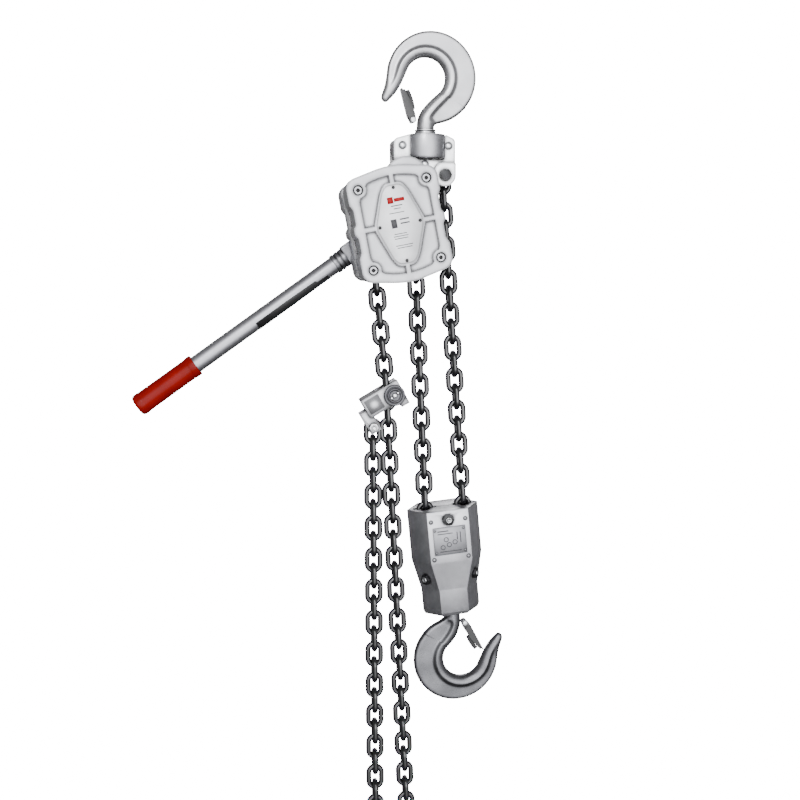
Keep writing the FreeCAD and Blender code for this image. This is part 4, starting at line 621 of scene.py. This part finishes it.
def lower_neck():
    """The neck and leaning shank of the lower hook."""
    rows = [
        (22.9, -26.0, 74.0, -50.0, 14.0, 8.3),
        (17.6, -32.0, 63.5, -60.5, 14.0, 8.3),
        (12.6, -39.0, 53.0, -67.5, 14.0, 8.3),
        (8.6, -46.5, 45.0, -71.5, 14.0, 8.4),
        (5.6, -54.0, 39.5, -75.0, 14.0, 8.6),
        (3.6, -62.0, 35.0, -78.0, 14.1, 10.0),
        (2.6, -70.5, 32.0, -81.5, 14.1, 13.0),
        (3.3, -82.0, 31.4, -85.5, 14.1, 14.1),
    ]
    tilt = math.radians(BLOCK_TILT)
    radius = LOWER_SHANK_RADIUS
    dx = radius * math.cos(tilt)
    dy = radius * math.sin(tilt)
    for along in (94, 120, 150.7):
        x = SHANK_FOOT + along * math.sin(tilt)
        y = -along * math.cos(tilt)
        rows.append((x - dx, y - dy, x + dx, y + dy, radius, radius))
    return rows


def add_hooks():
    hook("upper_hook_forging", UPPER_NECK, False, (0, 0), "top_hook", "upper_hook", None)
    # The lower hook takes the darker copy of the forged steel as painted shade.
    hook("lower_hook_forging", lower_neck(), True, LOWER_BOWL, "bottom_hook", "lower_hook", SHADED_FORGING)


def latch_leaf(name, body, pivot, rest, bowl, shares, half):
    """The blackened leaf spring inside a latch: its span in shares of the latch, and its half thickness."""
    pivot = Vector((pivot[0], 0, pivot[1]))
    rest = Vector((rest[0], 0, rest[1]))
    along = (rest - pivot).normalized()
    inward = Vector((-along.z, 0, along.x))
    if inward.dot(Vector((bowl[0], 0, bowl[1])) - pivot) < 0:
        inward.negate()
    length = (rest - pivot).length
    steps = 14
    loops = []
    for i in range(steps + 1):
        t = i / steps
        distance = length * (shares[0] + (shares[1] - shares[0]) * t)
        lift = 7.6 + 1.6 * math.sin(math.pi * t)
        middle = pivot + along * distance + inward * lift
        corners = ((-half, -5), (-half, 5), (half, 5), (half, -5))
        loops.append([(middle + inward * a + Vector((0, b, 0))) * MM for a, b in corners])
    verts, faces = loops_mesh(loops)
    piece = new_piece(name, verts, faces, "zinc_steel", body, [], 0, SPRING_BLACK)
    add_bevel(piece, 0.4)


def add_latch_springs():
    """The leaf of each latch, from where its pin is and where its tip rests."""
    latch_leaf("upper_latch_leaf", "top_latch", (-23, -74), (-41.5, -18.5), (0, 0), (0.30, 0.90), 2.6)
    latch_leaf("lower_latch_leaf", "bottom_latch", (77, -999), (110, -1053), LOWER_BOWL, (0.44, 0.88), 3.8)


# ---------------------------------------------------------------- lever grip

LEVER_ROOT = Vector((-0.060, 0.086, -0.261))
LEVER_LINE = Vector((-0.815128, 0, -0.579281))


def turned_loops(profile, root, line, count=48):
    """Rings about a line, from rows of distance along it and radius, in millimetres."""
    side = line.orthogonal().normalized()
    back = side.cross(line).normalized()
    loops = []
    for along, radius in profile:
        centre = root + line * along * MM
        ring = []
        for i in range(count):
            angle = 2 * math.pi * i / count
            ring.append(centre + (side * math.cos(angle) + back * math.sin(angle)) * radius * MM)
        loops.append(ring)
    return loops


def add_grip():
    """The moulded grip: a lip at its inner end, a waist, and a bulging closed outer end."""
    profile = [
        (434.2, 15.8), (434.0, 17.5), (434.0, 20.2), (434.6, 20.9), (436.5, 21.0), (443.5, 21.0),
        (445.5, 20.6), (446.5, 20.2), (450, 20.1), (470, 20.0), (500, 20.0), (530, 20.1), (548, 20.3),
        (551, 20.5), (552.5, 20.9), (556.0, 21.0), (560.0, 20.8), (563.5, 19.6), (565.4, 17.2),
        (566.0, 13.0), (566.0, 6.0), (566.0, 1.0),
    ]
    verts, faces = loops_mesh(turned_loops(profile, LEVER_ROOT, LEVER_LINE))
    new_piece("grip_moulding", verts, faces, "grip_red", "lever", ["lever_grip"], 1)


STRIP_ROWS = [(140, 5, 0.9), (163, 6.5, 1.2), (166, 14.5, 1.7), (230, 16.5, 1.8), (300, 16.5, 1.8)]


def add_strip():
    """The dark band bonded on the tube's lower front, with a slim tail: distance, width, thickness."""
    down = Vector((-LEVER_LINE.z, 0, LEVER_LINE.x))
    front = Vector((0, -1, 0))
    loops = []
    for along, width, thick in STRIP_ROWS:
        centre = LEVER_ROOT + LEVER_LINE * along * MM
        half = width / (2 * TUBE_RADIUS)
        angles = [math.radians(STRIP_BELOW_FRONT) - half + 2 * half * i / 10 for i in range(11)]
        rim = [(a, TUBE_RADIUS + thick) for a in angles] + [(a, 15.8) for a in reversed(angles)]
        loops.append([centre + (front * math.cos(a) + down * math.sin(a)) * r * MM for a, r in rim])
    verts, faces = loops_mesh(loops)
    new_piece("lever_strip_band", verts, faces, "strip_black", "lever", ["lever_strip"])


# ---------------------------------------------------------------- small fittings

def leaning_face(centre, degrees):
    """A flat frame that faces the front and leans left: its centre, its right and its up."""
    lean = math.radians(degrees)
    right = Vector((math.cos(lean), 0, math.sin(lean)))
    up = Vector((-math.sin(lean), 0, math.cos(lean)))
    return Vector(centre), right, up


COVER_FACE = leaning_face((-60, -92, -261), COVER_LEAN)
BLOCK_FACE = leaning_face((53.17, -BLOCK_HALF_DEPTH, -973.97), BLOCK_TILT)
CLIP_FACE = leaning_face((-78, -22, -570.7), CLIP_LEAN)
FRONT = Vector((0, -1, 0))
# The middle of a flank of the block, and the way it faces: right and front of the block's axis.
FLANK = (44.8, 20.6)
FLANK_OUT = (41.2, 28.2)


def face_point(face, x, y, proud):
    """A point on a leaning face: x right, y up, and proud of it, in millimetres."""
    centre, right, up = face
    return centre + right * x + up * y + FRONT * proud


def bar(face, x, y, width, height, low, high):
    """A flat bar on a face, from low to high above it."""
    corners = ((-1, -1), (1, -1), (1, 1), (-1, 1))
    loops = [[face_point(face, x + a * width / 2, y + b * height / 2, proud) * MM for a, b in corners]
             for proud in (low, high)]
    return loops_mesh(loops)


def turned(face, x, y, profile, count=28):
    """A part turned about a line straight out of a face, from rows of height and radius."""
    return loops_mesh(turned_loops(profile, face_point(face, x, y, 0) * MM, FRONT, count))


def join_parts(parts):
    verts = []
    faces = []
    for part_verts, part_faces in parts:
        base = len(verts)
        verts += part_verts
        faces += [tuple(base + i for i in face) for face in part_faces]
    return verts, faces


def fitting(name, parts, slot_name, body, material=None, replaced=()):
    verts, faces = join_parts(parts)
    return new_piece(name, verts, faces, slot_name, body, replaced, 0, material)


def add_prints():
    """Plain printed bars and rings in place of lettering, and the nameplate's dark rivets."""
    red = [(-9.5, 42, 10, 11), (6, 41.5, 18, 6)]
    red_bars = [bar(COVER_FACE, *row, 0.95, 1.12) for row in red]
    fitting("nameplate_red_bars", red_bars, "nameplate_silver", "hoist_frame", PRINT_RED)
    grey = [(0, 32, 20, 1.6), (0, 27, 12, 1.4), (-2, 20, 26, 1.2), (-10, 2, 10, 15), (9, 8, 16, 2.2),
            (9, 1, 16, 2.2), (-2, -16, 22, 1.2), (-2, -20, 26, 1.2), (-2, -24, 24, 1.2), (1, -36, 30, 1.2),
            (1, -40, 26, 1.2)]
    grey_bars = [bar(COVER_FACE, *row, 0.95, 1.08) for row in grey]
    fitting("nameplate_grey_bars", grey_bars, "nameplate_silver", "hoist_frame", PRINT_GREY)
    dome = [(0.9, 2.7), (1.5, 2.7), (2.1, 2.2), (2.4, 1.3), (2.5, 0.4)]
    rivets = [turned(COVER_FACE, x, y, dome, 20) for x, y in ((0, 63), (0, -63), (35.5, 0), (-35.5, 0))]
    fitting("nameplate_rivets", rivets, "bolt_black", "hoist_frame")
    label = [(-12, 164, 20, 1.8), (-8, 159, 28, 1.4), (14, 153, 1.6, 14), (20, 150, 1.6, 20),
             (0, 126, 40, 1.4)]
    marks = [bar(BLOCK_FACE, *row, 1.1, 1.3) for row in label]
    ring = [(1.1, 3.2), (1.1, 4.6), (1.3, 4.6), (1.3, 3.2), (1.1, 3.2)]
    marks += [turned(BLOCK_FACE, x, y, ring, 24) for x, y in ((-14, 134), (-2, 138), (9, 142), (-7, 148))]
    fitting("block_label_marks", marks, "label_grey", "falls", PRINT_GREY)


def add_clip_fittings():
    """The clip's dark cap with its bright pin and lugs, and the raised panel beside it."""
    face = leaning_face((-59, -22, -564), 0)
    profile = [(-0.5, 19.3), (3.6, 19.3), (4.6, 18.6), (5.0, 17.4), (5.0, 15.6), (4.2, 15.0), (4.2, 13.9),
               (5.2, 13.2), (6.8, 12.8), (7.2, 11.8), (7.2, 11.0), (6.6, 10.2), (4.8, 9.6), (4.6, 8.0),
               (4.6, 1.0)]
    cap = turned(face, 0, 0, profile, 56)
    fitting("clip_cap_turned", [cap], "cap_dark", "slack", None, ["clip_cap"])
    pin = [(4.0, 4.2), (6.6, 4.2), (7.6, 3.8), (8.2, 2.8), (8.4, 1.0)]
    lug = [(4.0, 2.7), (5.8, 2.7), (6.5, 2.2), (6.8, 1.0)]
    bright = [turned(face, 0, 0, pin)]
    for angle in (40, 220):
        x, y = around(0, 0, 7.4, angle)
        bright.append(turned(face, x, y, lug, 20))
    fitting("clip_cap_pin", bright, "zinc_steel", "slack")
    panel = fitting("clip_panel", [bar(CLIP_FACE, -20, 1, 29, 27, -0.5, 1.3)], "casing_silver", "slack")
    add_bevel(panel, 0.8)
    bolt = [(-2.0, 5.2), (0.8, 5.2), (1.5, 4.6), (1.7, 3.8), (0.6, 3.0), (0.6, 1.0)]
    bolt_face = leaning_face((-96, -20.5, -623), 0)
    fitting("clip_bolt_end", [turned(bolt_face, 0, 0, bolt, 24)], "zinc_steel", "slack")


def add_block_bolt_ends():
    """The bright hollow ends of the block's cross bolt and of its four flank bolts."""
    end = [(-2.0, 5.4), (1.0, 5.4), (1.7, 4.8), (1.9, 4.0), (0.7, 3.2), (0.7, 1.0)]
    centre, right, up = BLOCK_FACE
    middle = centre + up * CROSS_BOLT_HEIGHT + Vector((0, BLOCK_HALF_DEPTH, 0))
    flank_drop = up * (FLANK_BOLT_HEIGHT - CROSS_BOLT_HEIGHT)
    parts = []
    for side in (-1, 1):
        line = Vector((0, side, 0))
        parts.append(loops_mesh(turned_loops(end, (middle + line * CROSS_BOLT_REACH) * MM, line, 28)))
    for side in (-1, 1):
        for front in (-1, 1):
            line = (right * side * FLANK_OUT[0] + Vector((0, front * FLANK_OUT[1], 0))).normalized()
            seat = middle + flank_drop + right * side * FLANK[0] + Vector((0, front * FLANK[1], 0))
            parts.append(loops_mesh(turned_loops(end, (seat + line * FLANK_BOLT_REACH) * MM, line, 24)))
    fitting("block_bolt_ends", parts, "zinc_steel", "falls")


# ---------------------------------------------------------------- the scene

add_camera()
add_world()
add_area("key", (-0.9, -3.0, 1.4), (0, 0, -0.4), (0.9, 0.9), 42)
add_area("low_fill", (0.3, -2.6, -1.0), (0, 0, -0.7), (1.0, 0.5), 8)
add_area("back_light", (0.8, 2.8, 0.9), (0, 0, -0.5), (1.2, 1.2), 25)
add_floor()
finish_cad_nodes()
add_hooks()
add_latch_springs()
add_grip()
add_strip()
add_prints()
add_clip_fittings()
add_block_bolt_ends()
